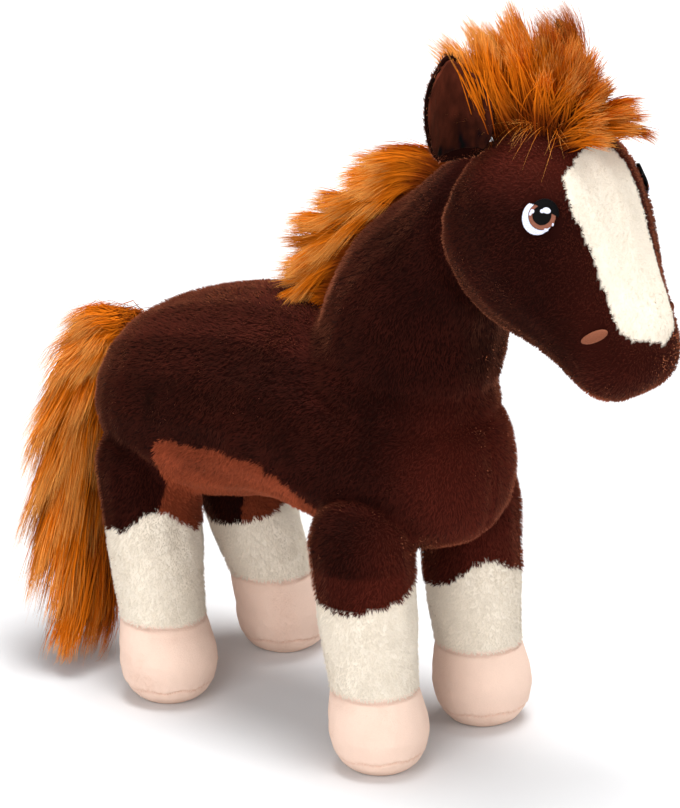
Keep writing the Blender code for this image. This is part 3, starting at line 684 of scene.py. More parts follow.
class HORSE_OT_stage(Operator):
    """Camera, lamps and a pale floor"""

    bl_idname = "plush_horse.stage"
    bl_label = "Stage"

    def execute(self, context):
        settings = context.scene.horse_stage
        context.scene.view_settings.view_transform = "Standard"
        pixel, distance = 0.00037, 1.9
        right = Vector((0.660, -0.7513, 0))
        up = Vector((0.2619, 0.2301, 0.9373))
        back = Vector((-0.7042, -0.6186, 0.3486))
        target = pixel * (14.25 * right + 298.75 * up) + Vector((0, 0.012407, 0))
        lens = bpy.data.cameras.new("camera")
        camera = bpy.data.objects.new("camera", lens)
        context.scene.collection.objects.link(camera)
        turn = Matrix((right.normalized(), up.normalized(), back.normalized())).transposed()
        camera.matrix_world = Matrix.Translation(target + back.normalized() * distance) @ turn.to_4x4()
        lens.sensor_fit = "AUTO"
        lens.sensor_width = 36
        lens.lens = 228.8
        lens.clip_end = 60
        context.scene.camera = camera

        floor = bpy.data.meshes.new("floor")
        reach = 6.0
        corners = [(-reach, -reach, 0), (reach, -reach, 0), (reach, reach, 0), (-reach, reach, 0)]
        floor.from_pydata(corners, [], [(0, 1, 2, 3)])
        ground = show("floor", floor, self.floor_material(settings))

        self.lamp("key", (0.10, -0.05, 1.60), 1.0, settings.key_power)
        self.lamp("fill", (0.2, -1.7, 0.75), 1.2, settings.fill_power)
        self.lamp("side", (-1.5, -0.5, 0.8), 1.2, settings.rim_power)
        self.sky(context)
        return {"FINISHED"}

    def floor_material(self, settings):
        """Pale, and white to the camera where no shadow falls."""
        material = bpy.data.materials.new("pale_floor")
        material.use_nodes = True
        tree = material.node_tree
        surface = tree.nodes["Principled BSDF"]
        surface.inputs["Base Color"].default_value = (*settings.floor, 1)
        surface.inputs["Roughness"].default_value = 0.9
        surface.inputs["Specular IOR Level"].default_value = 0.0
        surface.inputs["Emission Color"].default_value = (1, 1, 1, 1)
        path = add_node(tree, "LightPath")
        seen = add_node(tree, "Math", "MAXIMUM")
        also = add_node(tree, "Math", "MAXIMUM")
        glow = add_node(tree, "Math", "MULTIPLY")
        spot = add_node(tree, "NewGeometry")
        far = add_node(tree, "VectorMath", "LENGTH")
        rise = add_node(tree, "MapRange", From_Min=0.35, From_Max=1.50, To_Min=0.02, To_Max=0.90)
        join(
            tree,
            (spot, "Position", far, 0),
            (far, "Value", rise, "Value"),
            (rise, "Result", glow, 1),
            (path, "Is Camera Ray", seen, 0),
            (path, "Is Glossy Ray", seen, 1),
            (seen, "Value", also, 0),
            (path, "Is Transmission Ray", also, 1),
            (also, "Value", glow, 0),
            (glow, "Value", surface, "Emission Strength"),
        )
        return material

    def lamp(self, name, place, size, power):
        light = bpy.data.lights.new(name, "AREA")
        light.shape = "DISK"
        light.size = size
        light.energy = power
        lamp = bpy.data.objects.new(name, light)
        bpy.context.scene.collection.objects.link(lamp)
        aim = Vector((0, 0, 0.12)) - Vector(place)
        lamp.matrix_world = Matrix.Translation(place) @ aim.to_track_quat("-Z", "Y").to_matrix().to_4x4()

    def sky(self, context):
        """Even pale light all round, white where it is seen."""
        world = bpy.data.worlds.new("pale_room")
        context.scene.world = world
        world.use_nodes = True
        tree = world.node_tree
        background = tree.nodes["Background"]
        background.inputs["Color"].default_value = (1, 1, 1, 1)
        path = add_node(tree, "LightPath")
        seen = add_node(tree, "Math", "MAXIMUM")
        level = add_node(tree, "MapRange", To_Min=0.28, To_Max=1.0)
        join(
            tree,
            (path, "Is Camera Ray", seen, 0),
            (path, "Is Transmission Ray", seen, 1),
            (seen, "Value", level, "Value"),
            (level, "Result", background, "Strength"),
        )


zone_nodes = {
    "torso": ("body_panel_right", "body_panel_left", "belly_gusset", "body_stuffing"),
    "neck_low": ("neck_skin", "neck_stuffing"),
    "neck_high": (),
    "head": (
        "cheek_panel_right",
        "cheek_panel_left",
        "forehead_panel",
        "blaze_panel",
        "chin_gusset",
        "head_stuffing",
    ),
}
for leg in legs:
    zone_nodes[f"leg_{leg}"] = (f"leg_skin_{leg}", f"leg_stuffing_{leg}", f"sock_{leg}")


def painted_pile_light(place, out, zone):
    """How much lighter the brown pile is painted where light falls on it: painted light on the brow and back where they
    face up, the chest where it faces forward, the muzzle and the front legs.
    """
    names = np.array(zones)[zone]
    head = names == "head"
    limb = np.char.startswith(names, "leg")
    y, z = place[:, 1], place[:, 2]
    brow = head * np.clip((z - 0.222) / 0.016, 0, 1) * np.clip((out[:, 2] + 0.1) / 0.6, 0, 1)
    muzzle = head * np.clip((-0.112 - y) / 0.012, 0, 1) * 0.26
    chest = ~head * np.clip((-0.038 - y) / 0.016, 0, 1) * np.clip((0.150 - z) / 0.030, 0, 1)
    back = (~head & ~limb) * np.clip((out[:, 2] - 0.55) / 0.4, 0, 1) * 0.32
    fore = limb & (y < 0)
    return 0.74 * brow + muzzle + 0.74 * chest * np.clip(0.2 - out[:, 1], 0, 1) + back + 0.40 * fore


class HORSE_OT_skins(Operator):
    """The sewn skins of the torso, neck, head and legs, under the pile"""

    bl_idname = "plush_horse.skins"
    bl_label = "Skins"

    def execute(self, context):
        points, quads, _, _ = skin()
        middles = points[quads].mean(axis=1)
        face_owner = nearest_nodes(middles)
        point_owner = nearest_nodes(points)
        cloth = cloth_at(points, point_owner)
        # Painted light: the brown backing's tint is made lighter on the brow, back, chest, muzzle and front legs, where
        # light falls on them.
        nap = painted_pile_light(points, point_normals(points, quads), zone_at(points, point_owner)) * (cloth == 0)
        tints = cloth_colours()[cloth] * (np.array([0.72, 0.8, 0.95, 0.97])[cloth] * (1 + 3.5 * nap))[:, None]
        zone = zone_at(middles, face_owner)
        hoof = (leg_of(face_owner) >= 0) & (middles[:, 2] < hoof_height)
        made["face_owner"] = face_owner
        material = cloth_material("pile_backing", 0.22, 1500)
        for number, name in enumerate(zones):
            own = quads[(zone == number) & ~hoof]
            used, numbers = np.unique(own, return_inverse=True)
            mesh = mesh_of(f"{name}_skin", points[used], numbers.reshape(-1, 4))
            paint(mesh, tints[used])
            piece = show(f"{name}_skin", mesh, material)
            attach(piece, name)
            if zone_nodes[name]:
                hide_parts(*zone_nodes[name])
        return {"FINISHED"}


class HORSE_OT_hooves(Operator):
    """The four padded hooves, with their top and sole seams"""

    bl_idname = "plush_horse.hooves"
    bl_label = "Hooves"

    def execute(self, context):
        points, quads, _, _ = skin()
        limb = leg_of(made["face_owner"])
        middles = points[quads].mean(axis=1)
        for number, leg in enumerate(legs):
            own = quads[(limb == number) & (middles[:, 2] < hoof_height + 0.0025)]
            used, numbers = np.unique(own, return_inverse=True)
            fine, faces = subdivided(points[used], numbers.reshape(-1, 4), 2)
            fine, tint = self.sewn(leg, fine, faces)
            name = f"hoof_{leg}_padding"
            mesh = mesh_of(name, fine, faces)
            paint(mesh, tint)
            piece = show(name, mesh, cloth_material("hoof_nap", 0.10, 2200))
            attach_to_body(piece, f"leg_{leg}")
            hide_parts(f"hoof_{leg}", f"sole_{leg}")
        return {"FINISHED"}

    def sewn(self, leg, points, faces):
        """Draw the seams in: one under the sock and one round the sole, which puckers at the toe."""
        normals = point_normals(points, faces)
        out = points[:, :2] - leg_axis(leg, points[:, 2])
        turn = np.arctan2(out[:, 0], -out[:, 1])
        wavy = 0.0004 * np.sin(turn * 9) + 0.0003 * smooth_noise(points, 0.004, 81)
        sole_line = 0.0062 + 0.0012 * np.cos(turn) + wavy
        toe = np.clip(0.35 + 0.65 * np.cos(turn + 0.5), 0, 1)
        sole = toe * np.exp(-(((points[:, 2] - sole_line) / 0.0005) ** 2)) * (normals[:, 2] < 0.6)
        top = np.exp(-((np.minimum(points[:, 2] - hoof_height + 0.0008, 0) / 0.0007) ** 2))
        pucker = np.exp(-(((points[:, 2] - sole_line) / 0.0022) ** 2)) * np.sin(turn * 34 + 2 * np.sin(turn * 5))
        creases = 0.00030 * smooth_noise(points, 0.010, 83) + 0.00012 * smooth_noise(points, 0.003, 84)
        depth = 0.00045 * sole + 0.0006 * top + 0.00010 * pucker * toe - creases * (1 - top)
        depth = depth * np.clip((points[:, 2] - 0.0008) / 0.001, 0, 1)
        tint = np.tile(cloth_colours()[3], (len(points), 1))
        tint = tint * (1 - np.array([0.10, 0.22, 0.28]) * sole[:, None])
        return points - normals * depth[:, None], tint


class HORSE_OT_pile(Operator):
    """Short pile over every skin, brushed back and down"""

    bl_idname = "plush_horse.pile"
    bl_label = "Short pile"

    def execute(self, context):
        settings = context.scene.horse_pile
        rng = np.random.default_rng(20)
        points, quads, _, _ = skin()
        thin = 1.0
        place, out = pile_spots(points, quads, settings.density * thin * 1.5, rng)
        owner = nearest_nodes(place)
        cloth = cloth_at(place, owner)
        zone = zone_at(place, owner)
        stands = (place[:, 2] > 0.0015) | (out[:, 2] > -0.3)
        stands &= rng.uniform(0, 1, len(place)) < np.array([0.68, 0.68, 0.85, 1.0])[cloth]
        for low, high in self.bare_spots():
            stands &= ~((place > low) & (place < high)).all(axis=1)
        place, out, cloth, zone = place[stands], out[stands], cloth[stands], zone[stands]
        head = zone == zones.index("head")
        count = len(place)
        cloth_sizes = (settings.body_length, settings.body_length, settings.cream_length, settings.nap_length)
        sizes = np.array(cloth_sizes)[cloth]
        sizes = sizes * np.where(head, np.where(cloth < 2, 0.72, 0.66), 1.0)
        sizes = sizes * (1 + 0.25 * rng.uniform(-1, 1, count) + 0.12 * smooth_noise(place, 0.004, 31))
        lay = lay_of(place)
        lay = lay + 0.50 * noise_vectors(place, 0.014, 41) + 0.30 * noise_vectors(place, 0.005, 44)
        lay = lay + 0.35 * rng.normal(0, 1, (count, 3))
        lay = unit(lay - out * (lay * out).sum(1, keepdims=True))
        lean = np.array([0.85, 0.85, 1.0, 1.6])[cloth] * (1 + 0.3 * smooth_noise(place, 0.008, 47))
        ways = unit(out + lay * lean[:, None] * 0.75)
        bends = unit(out + lay * lean[:, None] * 1.7)
        widths = settings.strand_width * np.array([1.0, 1.0, 0.95, 0.7])[cloth] * (1 + 0.3 * rng.uniform(-1, 1, count))
        widths = widths * 1.0
        shades = 0.5 + 0.24 * smooth_noise(place, 0.020, 51) + 0.16 * smooth_noise(place, 0.006, 52)
        shades = shades + 0.13 * rng.normal(0, 1, count)
        # Painted light: the brown locks get lighter shades on the brow, back, chest, muzzle and front legs, where light
        # falls on them.
        shades = np.where(cloth == 0, 0.5 * shades + painted_pile_light(place, out, zone), shades)
        roots = place - out * 0.0003
        materials = self.materials()
        for number, name in enumerate(zones):
            for kind, cloth_name in enumerate(cloths):
                mine = np.flatnonzero((zone == number) & (cloth == kind))
                if not len(mine):
                    continue
                parts = max(1, math.ceil(len(mine) / piece_locks))
                order = mine[np.argsort(place[mine, 1], kind="stable")]
                for part, some in enumerate(np.array_split(order, parts)):
                    locks = (values[some] for values in (roots, ways, bends, out, sizes, widths, shades))
                    piece = blades(f"{name}_pile_{cloth_name}_{part + 1}", *locks, materials[kind])
                    attach(piece, name)
        return {"FINISHED"}

    def bare_spots(self):
        """Boxes round the stitched eyes and nostrils, where the pile is held down."""
        for name in ("eye_right", "eye_left", "nostril_right", "nostril_left"):
            low, high = (np.array(corner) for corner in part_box(name))
            yield low - 0.0006, high + 0.0006

    def materials(self):
        _, light, cream, peach = cloth_colours()
        light_stops = [(0.0, light * 0.6), (0.6, light), (1.0, light * 1.3)]
        cream_stops = [(0.0, cream * 0.86), (0.5, cream * 0.95), (1.0, cream * 0.95)]
        peach_stops = [(0.0, peach * 0.95), (0.6, peach), (1.0, peach)]
        return (
            pile_brown(),
            lock_material("pile_light_brown", light_stops, 0.5, 1.5, 0.5, (1.0, 0.42, 0.24)),
            lock_material("pile_cream", cream_stops, 0.92, 1.03, 0.1, (1, 1, 0.95)),
            lock_material("nap_peach", peach_stops, 0.95, 1.04, 0.1, (1, 0.9, 0.85)),
        )


def ribbons(name, paths, faces_out, widths, shades, material, ends=(0.0, 1.0)):
    """Long hair: each path a flat tapering strand that faces away from the tuft."""
    count, steps, _ = paths.shape
    along = unit(np.gradient(paths, axis=1))
    side = unit(np.cross(along, faces_out[:, None, :]))
    share = np.linspace(0, 1, steps)
    taper = np.minimum(1, 0.35 + 2.6 * share) * (1 - share ** 2.2 * 0.93)
    half = side * (widths[:, None] * taper[None, :] / 2)[:, :, None]
    points = np.stack([paths - half, paths + half], axis=2).reshape(count, steps * 2, 3)
    rows = np.arange(steps - 1)[:, None] * 2
    quad = (rows + np.array([0, 1, 3, 2])).reshape(-1, 4)
    faces = (np.arange(count)[:, None, None] * steps * 2 + quad[None]).reshape(-1, 4)
    mesh = mesh_of(name, points.reshape(-1, 3), faces)
    chart = np.empty((count, steps, 2, 2), np.float32)
    chart[..., 0] = shades[:, None, None]
    chart[..., 1] = np.linspace(ends[0], ends[1], steps)[None, :, None]
    lay_chart(mesh, chart.reshape(-1, 2), faces)
    return show(name, mesh, material)


def skin_tree():
    if "skin_tree" not in made:
        points, quads, _, _ = skin()
        made["skin_tree"] = BVHTree.FromPolygons(points.tolist(), quads.tolist())
    return made["skin_tree"]


def on_skin(spots, way):
    """Where lines from the given spots meet the skin."""
    found = []
    for spot in spots.tolist():
        hit = skin_tree().ray_cast(Vector(spot), Vector(way), 0.1)[0]
        found.append(tuple(hit) if hit else spot)
    return np.array(found)


def bezier(start, middle, end, steps):
    t = np.linspace(0, 1, steps)[None, :, None]
    return start[:, None] * (1 - t) ** 2 + 2 * middle[:, None] * t * (1 - t) + end[:, None] * t**2


def pile_brown():
    brown = cloth_colours()[0]
    return lock_material(
        "pile_brown", [(0.0, brown * 0.5), (0.55, brown), (1.0, brown * 1.7)], 0.15, 3.75, 0.9, (1.0, 0.32, 0.15)
    )


def hair_material():
    hair = bpy.context.scene.horse_hair
    root, middle, tip = (np.array(tuple(colour)) for colour in (hair.root, hair.middle, hair.tip))
    stops = [(0.0, root * 0.6), (0.2, root), (0.50, middle), (0.80, middle * 1.1), (1.0, tip)]
    return lock_material("long_pile", stops, 0.62, 1.38, 0.05, (1.0, 0.6, 0.2))


def grow(rng, roots, guides, tufts, gather, wander):
    """Strands that start at their own roots and draw together towards their tuft's guide."""
    steps = guides.shape[1]
    share = np.linspace(0, 1, steps)[None, :, None]
    guide = guides[tufts]
    apart = (roots - guide[:, 0])[:, None, :] * (1 - gather * share**0.8)
    drift = rng.normal(0, 1, (len(roots), 1, 3)) * share**1.4 * wander
    curl = rng.normal(0, 1, (len(roots), 1, 3)) * np.sin(share * math.pi * 1.5) * wander * 0.4
    reach = rng.uniform(0.72, 1.0, (len(roots), 1, 1))
    spread = guide[:, :1] + (guide - guide[:, :1]) * reach
    return spread + apart + drift + curl


class HORSE_OT_forelock(Operator):
    """The tuft of long hair that fans up between the ears"""

    bl_idname = "plush_horse.forelock"
    bl_label = "Forelock"

    # The fan's tips from the back to the front: share of the way round, reach along y and height.
    tip_shares = (-1.0, -0.72, -0.42, -0.10, 0.22, 0.60, 0.82, 1.0)
    tip_places = (-0.0338, -0.0440, -0.0580, -0.0740, -0.0880, -0.1110, -0.1250, -0.1350)
    tip_heights = (0.2600, 0.2740, 0.2850, 0.2895, 0.2860, 0.2715, 0.2610, 0.2510)

    def execute(self, context):
        hair = context.scene.horse_hair
        rng = np.random.default_rng(7)
        count = int(hair.forelock_strands * (1))
        tufts = 84
        fan = np.linspace(-1, 1, tufts) + rng.uniform(-0.04, 0.04, tufts)
        side = rng.choice((-1.0, 1.0), tufts)
        wide = rng.uniform(0, 1, tufts) ** 1.3
        root = on_skin(np.stack([side * wide * 0.0095, -0.0880 - 0.0175 * fan, 0 * fan + 0.28], axis=1), (0, 0, -1))
        long = rng.uniform(0.74, 1.03, tufts)[:, None] * (1 - 0.10 * wide[:, None])
        tip = np.stack(
            [
                side * wide * 0.020,
                np.interp(fan, self.tip_shares, self.tip_places),
                np.interp(fan, self.tip_shares, self.tip_heights),
            ],
            axis=1,
        )
        middle = root + (tip - root) * np.array([0.55, 0.34, 0.62])
        over = (fan < -0.30) & (wide > 0.35)
        level = (fan[over] + 1) / 0.7
        near = side[over] < 0
        aside = np.where(near, -0.034 + 0.014 * level, 0.034)
        along = np.where(near, -0.066 - 0.008 * level, -0.054 - 0.018 * level)
        tip[over] = np.stack([aside, along, np.where(near, 0.278 + 0.008 * level, 0.281 + 0.003 * level)], axis=1)
        middle[over] = np.stack([side[over] * 0.031, -0.083 - 0.004 * level, 0.2600 + 0.003 * level], axis=1)
        tip[~over, 2] -= 0.45 * np.maximum(tip[~over, 0], 0)
        guides = bezier(root, middle, root + (tip - root) * long, 8)
        tuft = rng.integers(0, tufts, count)
        roots = root[tuft] + rng.normal(0, 1, (count, 3)) * np.array([0.0030, 0.0030, 0.0006])
        paths = grow(rng, roots, guides, tuft, 0.84, 0.0014)
        out = rng.normal(0, 0.35, (count, 3)) + np.array([0, -0.35, 0.45])
        out[:, 0] += side[tuft]
        shades = 0.5 + 0.15 * rng.normal(0, 1, count) + 0.15 * rng.normal(0, 1, tufts)[tuft]
        widths = hair.strand_width * rng.uniform(0.7, 1.3, count)
        piece = ribbons("forelock_hair", paths, unit(out), widths, shades, hair_material())
        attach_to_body(piece, "head")
        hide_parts("forelock")
        self.fringe(rng)
        return {"FINISHED"}

    def fringe(self, rng):
        """Short loose hairs that spill round the foot of the forelock."""
        count = 320
        turn = rng.uniform(-math.pi, math.pi, count)
        ring = np.stack([np.sin(turn), np.cos(turn), 0 * turn], axis=1)
        spots = ring * np.array([0.010, 0.018, 0]) * rng.uniform(0.6, 1.0, (count, 1)) + np.array([0, -0.0880, 0.28])
        roots = on_skin(spots, (0, 0, -1))
        long = rng.uniform(0.006, 0.014, count) * (1 + 0.5 * np.abs(ring[:, 0]))
        middle = roots + (ring * 0.75 + np.array([0, 0, 0.55])) * long[:, None] * 0.6
        tips = roots + (ring * 1.05 + rng.normal(0, 0.28, (count, 3))) * long[:, None]
        tips[:, 2] += rng.uniform(-0.25, 0.65, count) * long
        paths = bezier(roots, middle, tips, 7)
        out = unit(np.array([0, 0, 1.0]) + ring * 0.6)
        shades = rng.uniform(0.5, 1.0, count)
        piece = ribbons("forelock_fringe", paths, out, np.full(count, 0.00013), shades, hair_material(), (0.6, 1.0))
        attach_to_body(piece, "head")


class HORSE_OT_mane(Operator):
    """The crest of long hair along the neck"""

    bl_idname = "plush_horse.mane"
    bl_label = "Mane"

    def execute(self, context):
        hair = context.scene.horse_hair
        rng = np.random.default_rng(11)
        count = int(hair.mane_strands * (1))
        tufts = 120
        at = np.sort(rng.uniform(0, 1, tufts))
        across = rng.uniform(-1, 1, tufts)
        root = self.crest(at, across * 0.0052)
        upright = 1 - np.abs(across) * rng.uniform(0.55, 1.0, tufts)
        upright = np.maximum(upright, 0.9 - 4 * at)
        down = np.array([0.0, 0.66, -0.75])
        back = np.array([0.0, 0.985, 0.17])
        way = unit(down * (1 - upright)[:, None] + back * upright[:, None])
        way[:, 0] = across * 0.20
        long = (0.038 - 0.003 * at) * rng.uniform(0.78, 1.06, tufts)
        lift = np.array([0.0, 0.848, 0.53]) * (0.5 + 0.5 * upright)[:, None]
        middle = root + (lift * 0.55 + way * 0.55) * long[:, None] * 0.48
        tip = root + unit(way + np.array([0, 0, -0.10])) * long[:, None]
        guides = bezier(root, middle, tip, 8)
        tuft = rng.integers(0, tufts, count)
        spread = rng.normal(0, 1, (count, 2)) * np.array([0.028, 0.0017])
        roots = self.crest(np.clip(at[tuft] + spread[:, 0], -0.02, 1.02), across[tuft] * 0.0052 + spread[:, 1])
        paths = grow(rng, roots, guides, tuft, 0.80, 0.0013)
        out = rng.normal(0, 0.30, (count, 3)) + np.array([0, -0.2, 0.5])
        out[:, 0] += np.sign(across[tuft] + rng.normal(0, 0.15, count))
        shades = 0.58 + 0.14 * rng.normal(0, 1, count) + 0.13 * rng.normal(0, 1, tufts)[tuft]
        widths = hair.strand_width * rng.uniform(0.7, 1.3, count)
        high = (roots - neck_middle) @ neck_way >= neck_end + 0.001
        for name, mine in (("neck_low", ~high), ("neck_high", high)):
            parts = (paths[mine], unit(out[mine]), widths[mine], shades[mine])
            piece = ribbons(f"mane_{name[5:]}", *parts, hair_material())
            attach(piece, name)
            if name == "neck_low":
                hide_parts("mane")
        return {"FINISHED"}

    def crest(self, at, across):
        """Spots on the skin along the neck's crest, from the poll down to the withers."""
        line = np.stack([across, -0.043 + 0.056 * at, 0.2235 - 0.055 * at], axis=1)
        way = np.array([0, -0.848, -0.53])
        return on_skin(line - way * 0.03, way)


class HORSE_OT_tail(Operator):
    """The long plume that hangs from the rump"""

    bl_idname = "plush_horse.tail"
    bl_label = "Tail"

    # The tail's middle line from root to tip, and its half width and half depth there.
    line = np.array(
        [
            (0.0000, 0.1019, 0.1218, 0.0061, 0.0042),
            (-0.0008, 0.1110, 0.1256, 0.0087, 0.0065),
            (-0.0030, 0.1209, 0.1211, 0.0133, 0.0104),
            (-0.0076, 0.1288, 0.1058, 0.0171, 0.0133),
            (-0.0144, 0.1300, 0.0765, 0.0190, 0.0138),
            (-0.0260, 0.1200, 0.0421, 0.0205, 0.0130),
            (-0.0350, 0.1090, 0.0150, 0.0180, 0.0104),
            (-0.0395, 0.1035, 0.0020, 0.0110, 0.0070),
        ]
    )

    def execute(self, context):
        hair = context.scene.horse_hair
        rng = np.random.default_rng(13)
        count = int(hair.tail_strands * (1))
        tufts = 170
        start = rng.uniform(0, 0.70, tufts)
        start[:26] = rng.uniform(0, 0.05, 26)
        turn = rng.uniform(-math.pi, math.pi, tufts)
        span = rng.uniform(0.27, 0.37, tufts)
        steps = 9
        far = rng.uniform(0.92, 1.34, tufts)
        guides = np.stack([self.strand(*values, steps) for values in zip(start, turn, span, far)])
        tuft = rng.integers(0, tufts, count)
        roots = guides[tuft, 0] + rng.normal(0, 0.0026, (count, 3))
        paths = grow(rng, roots, guides, tuft, 0.84, 0.0015)
        paths[..., 2] = np.maximum(paths[..., 2], 0.0012)
        axis = guides[tuft, steps // 2] - self.middle(np.clip(start + span / 2, 0, 1))[tuft]
        out = unit(unit(axis) + rng.normal(0, 0.30, (count, 3)))
        shades = 0.5 + 0.15 * rng.normal(0, 1, count) + 0.17 * rng.normal(0, 1, tufts)[tuft]
        widths = hair.strand_width * 1.1 * rng.uniform(0.7, 1.3, count)
        piece = ribbons("tail_hair", paths, out, widths, shades, hair_material())
        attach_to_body(piece, "tail")
        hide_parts("tail")
        return {"FINISHED"}

    def middle(self, at):
        spots = np.linspace(0, 1, len(self.line))
        return np.stack([np.interp(at, spots, self.line[:, column]) for column in range(3)], axis=1)

    def strand(self, start, turn, span, far, steps):
        """A guide that leaves the tail's core near the rump and works outwards as it falls."""
        at = np.clip(np.linspace(start, start + span, steps), 0, 1)
        spots = np.linspace(0, 1, len(self.line))
        wide, deep = (np.interp(at, spots, self.line[:, column]) for column in (3, 4))
        share = np.linspace(0.0, 1.0, steps)
        along = unit(np.gradient(self.middle(np.linspace(0, 1, 60)), axis=0))
        direction = along[(at * 59).astype(int)]
        left = unit(np.cross(direction, np.array([0, 1.0, 0.0])) + np.array([1e-6, 0, 0]))
        back = unit(np.cross(left, direction))
        inward = np.array([0.66, -0.75, 0.0]) * wide[:, None] * 0.62 * (1 - share[:, None]) * min(1, 4 * start)
        reach = share**0.85 * far
        out = left * (math.sin(turn) * wide * reach)[:, None] + back * (math.cos(turn) * deep * reach)[:, None]
        return self.middle(at) + inward + out


class HORSE_OT_ears(Operator):
    """The cupped ears: pile on the back and a dark lining with creases, painted darker deep in the cup as shade"""

    bl_idname = "plush_horse.ears"
    bl_label = "Ears"

    def execute(self, context):
        settings = context.scene.horse_pile
        for side in ("right", "left"):
            body = f"ear_{side}"
            shell, shell_quads = subdivided(*node_arrays((f"ear_shell_{side}",))[:2], 2)
            mesh = mesh_of(f"{body}_back", shell, shell_quads)
            paint(mesh, np.tile(np.array(tuple(settings.brown)) * 0.55, (len(shell), 1)))
            piece = show(f"{body}_back", mesh, cloth_material("pile_backing", 0.22, 1500))
            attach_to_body(piece, body)
            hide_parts(f"ear_shell_{side}")
            self.back = shell.mean(axis=0)
            lining, lining_quads = subdivided(*node_arrays((f"ear_lining_{side}",))[:2], 3)
            lining, tint = self.creased_and_shaded(lining, lining_quads)
            mesh = mesh_of(f"{body}_lining_cloth", lining, lining_quads)
            paint(mesh, tint)
            piece = show(f"{body}_lining_cloth", mesh, cloth_material("ear_nap", 0.25, 1800))
            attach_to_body(piece, body)
            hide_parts(f"ear_lining_{side}")
            self.ear_pile(shell, shell_quads, lining, body, settings)
        return {"FINISHED"}

    def creased_and_shaded(self, points, quads):
        """Short nap with creases, with painted shade deep in the cup and in the troughs of the creases."""
        normals = point_normals(points, quads)
        stretched = points * np.array([1.0, 1.0, 0.45])
        wrinkle = smooth_noise(stretched, 0.0021, 91) + 0.5 * smooth_noise(stretched, 0.0010, 92)
        inward = unit((self.back - points.mean(axis=0))[None])[0]
        depth = points @ inward
        deep = np.clip((depth - np.quantile(depth, 0.25)) / (np.quantile(depth, 0.9) - np.quantile(depth, 0.25)), 0, 1)
        # Painted shade: the lining is darker deep in the cup and in the crease troughs.
        tint = np.array(tone(72, 30, 18)) * (1.1 - 0.85 * deep + 0.35 * wrinkle)[:, None]
        return points + normals * (0.00028 * wrinkle)[:, None], np.maximum(tint, 0.002)

    def ear_pile(self, points, quads, lining, body, settings):
        rng = np.random.default_rng(17)
        thin = 1.0
        place, out = pile_spots(points, quads, 2.8 * thin, rng)
        inner = unit((lining.mean(axis=0) - points.mean(axis=0))[None])[0]
        keep = out @ inner < 0.5
        place, out = place[keep], out[keep]
        count = len(place)
        lay = np.tile(np.array([0, 0.1, 1.0]), (count, 1)) + 0.35 * rng.normal(0, 1, (count, 3))
        lay = unit(lay - out * (lay * out).sum(1, keepdims=True))
        ways, bends = unit(out + lay * 0.8), unit(out + lay * 1.7)
        sizes = settings.body_length * 0.75 * (1 + 0.25 * rng.uniform(-1, 1, count))
        widths = settings.strand_width * 0.9 * (1 + 0.3 * rng.uniform(-1, 1, count))
        shades = 0.5 + 0.2 * smooth_noise(place, 0.006, 51) + 0.13 * rng.normal(0, 1, count)
        piece = blades(f"{body}_pile", place - out * 0.0003, ways, bends, out, sizes, widths, shades, pile_brown())
        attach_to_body(piece, body)


def patch_frame(node, side):
    """The middle of a stitched patch, and its forward, up and outward directions."""
    corners, faces, _ = node_arrays((node,))
    middle = corners.mean(axis=0)
    _, _, ways = np.linalg.svd(corners - middle)
    out = ways[2]
    if out[0] * side < 0:
        out = -out
    forward = np.array([0.0, -1.0, 0.0])
    forward = unit((forward - out * (forward @ out))[None])[0]
    up = np.cross(out, forward)
    if up[2] < 0:
        up = -up
    return middle, forward, up, out


def thread_material(name, colour):
    """Satin embroidery thread, with its sheen and slight unevenness."""
    if name in made:
        return made[name]
    material, tree, surface = shader(name, 0.40, 0.0, (1.0, 1.0, 1.0))
    surface.inputs["Specular IOR Level"].default_value = 0.06
    place = add_node(tree, "TexCoord")
    fibre = add_node(tree, "TexNoise", Scale=3500, Detail=3)
    ramp = add_node(tree, "ValToRGB")
    ramp.color_ramp.elements[0].position = 0.3
    ramp.color_ramp.elements[0].color = (*[value * 0.8 for value in colour], 1)
    ramp.color_ramp.elements[1].position = 0.7
    ramp.color_ramp.elements[1].color = (*[min(1, value * 1.15) for value in colour], 1)
    join(tree, (place, "Object", fibre, "Vector"), (fibre, "Fac", ramp, "Fac"), (ramp, "Color", surface, "Base Color"))
    made[name] = material
    return material


def stitched(name, node, side, height, width, rows, picture, materials, proud, ahead=0.0):
    """A stitched patch laid on the skin: a fine grid, raised by its threads and cut to its outline."""
    middle, forward, up, out = patch_frame(node, side)
    middle = middle + forward * ahead
    across = np.linspace(-width / 2, width / 2, rows)
    upward = np.linspace(-height / 2, height / 2, int(rows * height / width))
    grid_x, grid_y = np.meshgrid(across, upward)
    x, y = grid_x.ravel(), grid_y.ravel()
    flat = middle + x[:, None] * forward + y[:, None] * up
    depth = []
    for spot in flat.tolist():
        hit, _, _, far = skin_tree().ray_cast(Vector(spot) + Vector(out) * 0.02, -Vector(out), 0.05)
        depth.append(0.02 - far if hit else -0.001)
    kind, rise = picture(x, y)
    surface = flat + out * (np.array(depth) + proud + rise)[:, None]
    columns = len(across)
    row, column = np.meshgrid(np.arange(len(upward) - 1), np.arange(columns - 1), indexing="ij")
    corner = (row * columns + column).ravel()
    faces = np.stack([corner, corner + 1, corner + columns + 1, corner + columns], axis=1)
    if np.dot(np.cross(forward, up), out) < 0:
        faces = faces[:, ::-1]
    face_kind = kind[faces].max(axis=1)
    shown = face_kind > 0
    faces, face_kind = faces[shown], face_kind[shown]
    used, numbers = np.unique(faces, return_inverse=True)
    mesh = mesh_of(name, surface[used], numbers.reshape(-1, 4))
    for material in materials:
        mesh.materials.append(material)
    mesh.polygons.foreach_set("material_index", (face_kind - 1).astype(np.int32))
    return show(name, mesh, None)


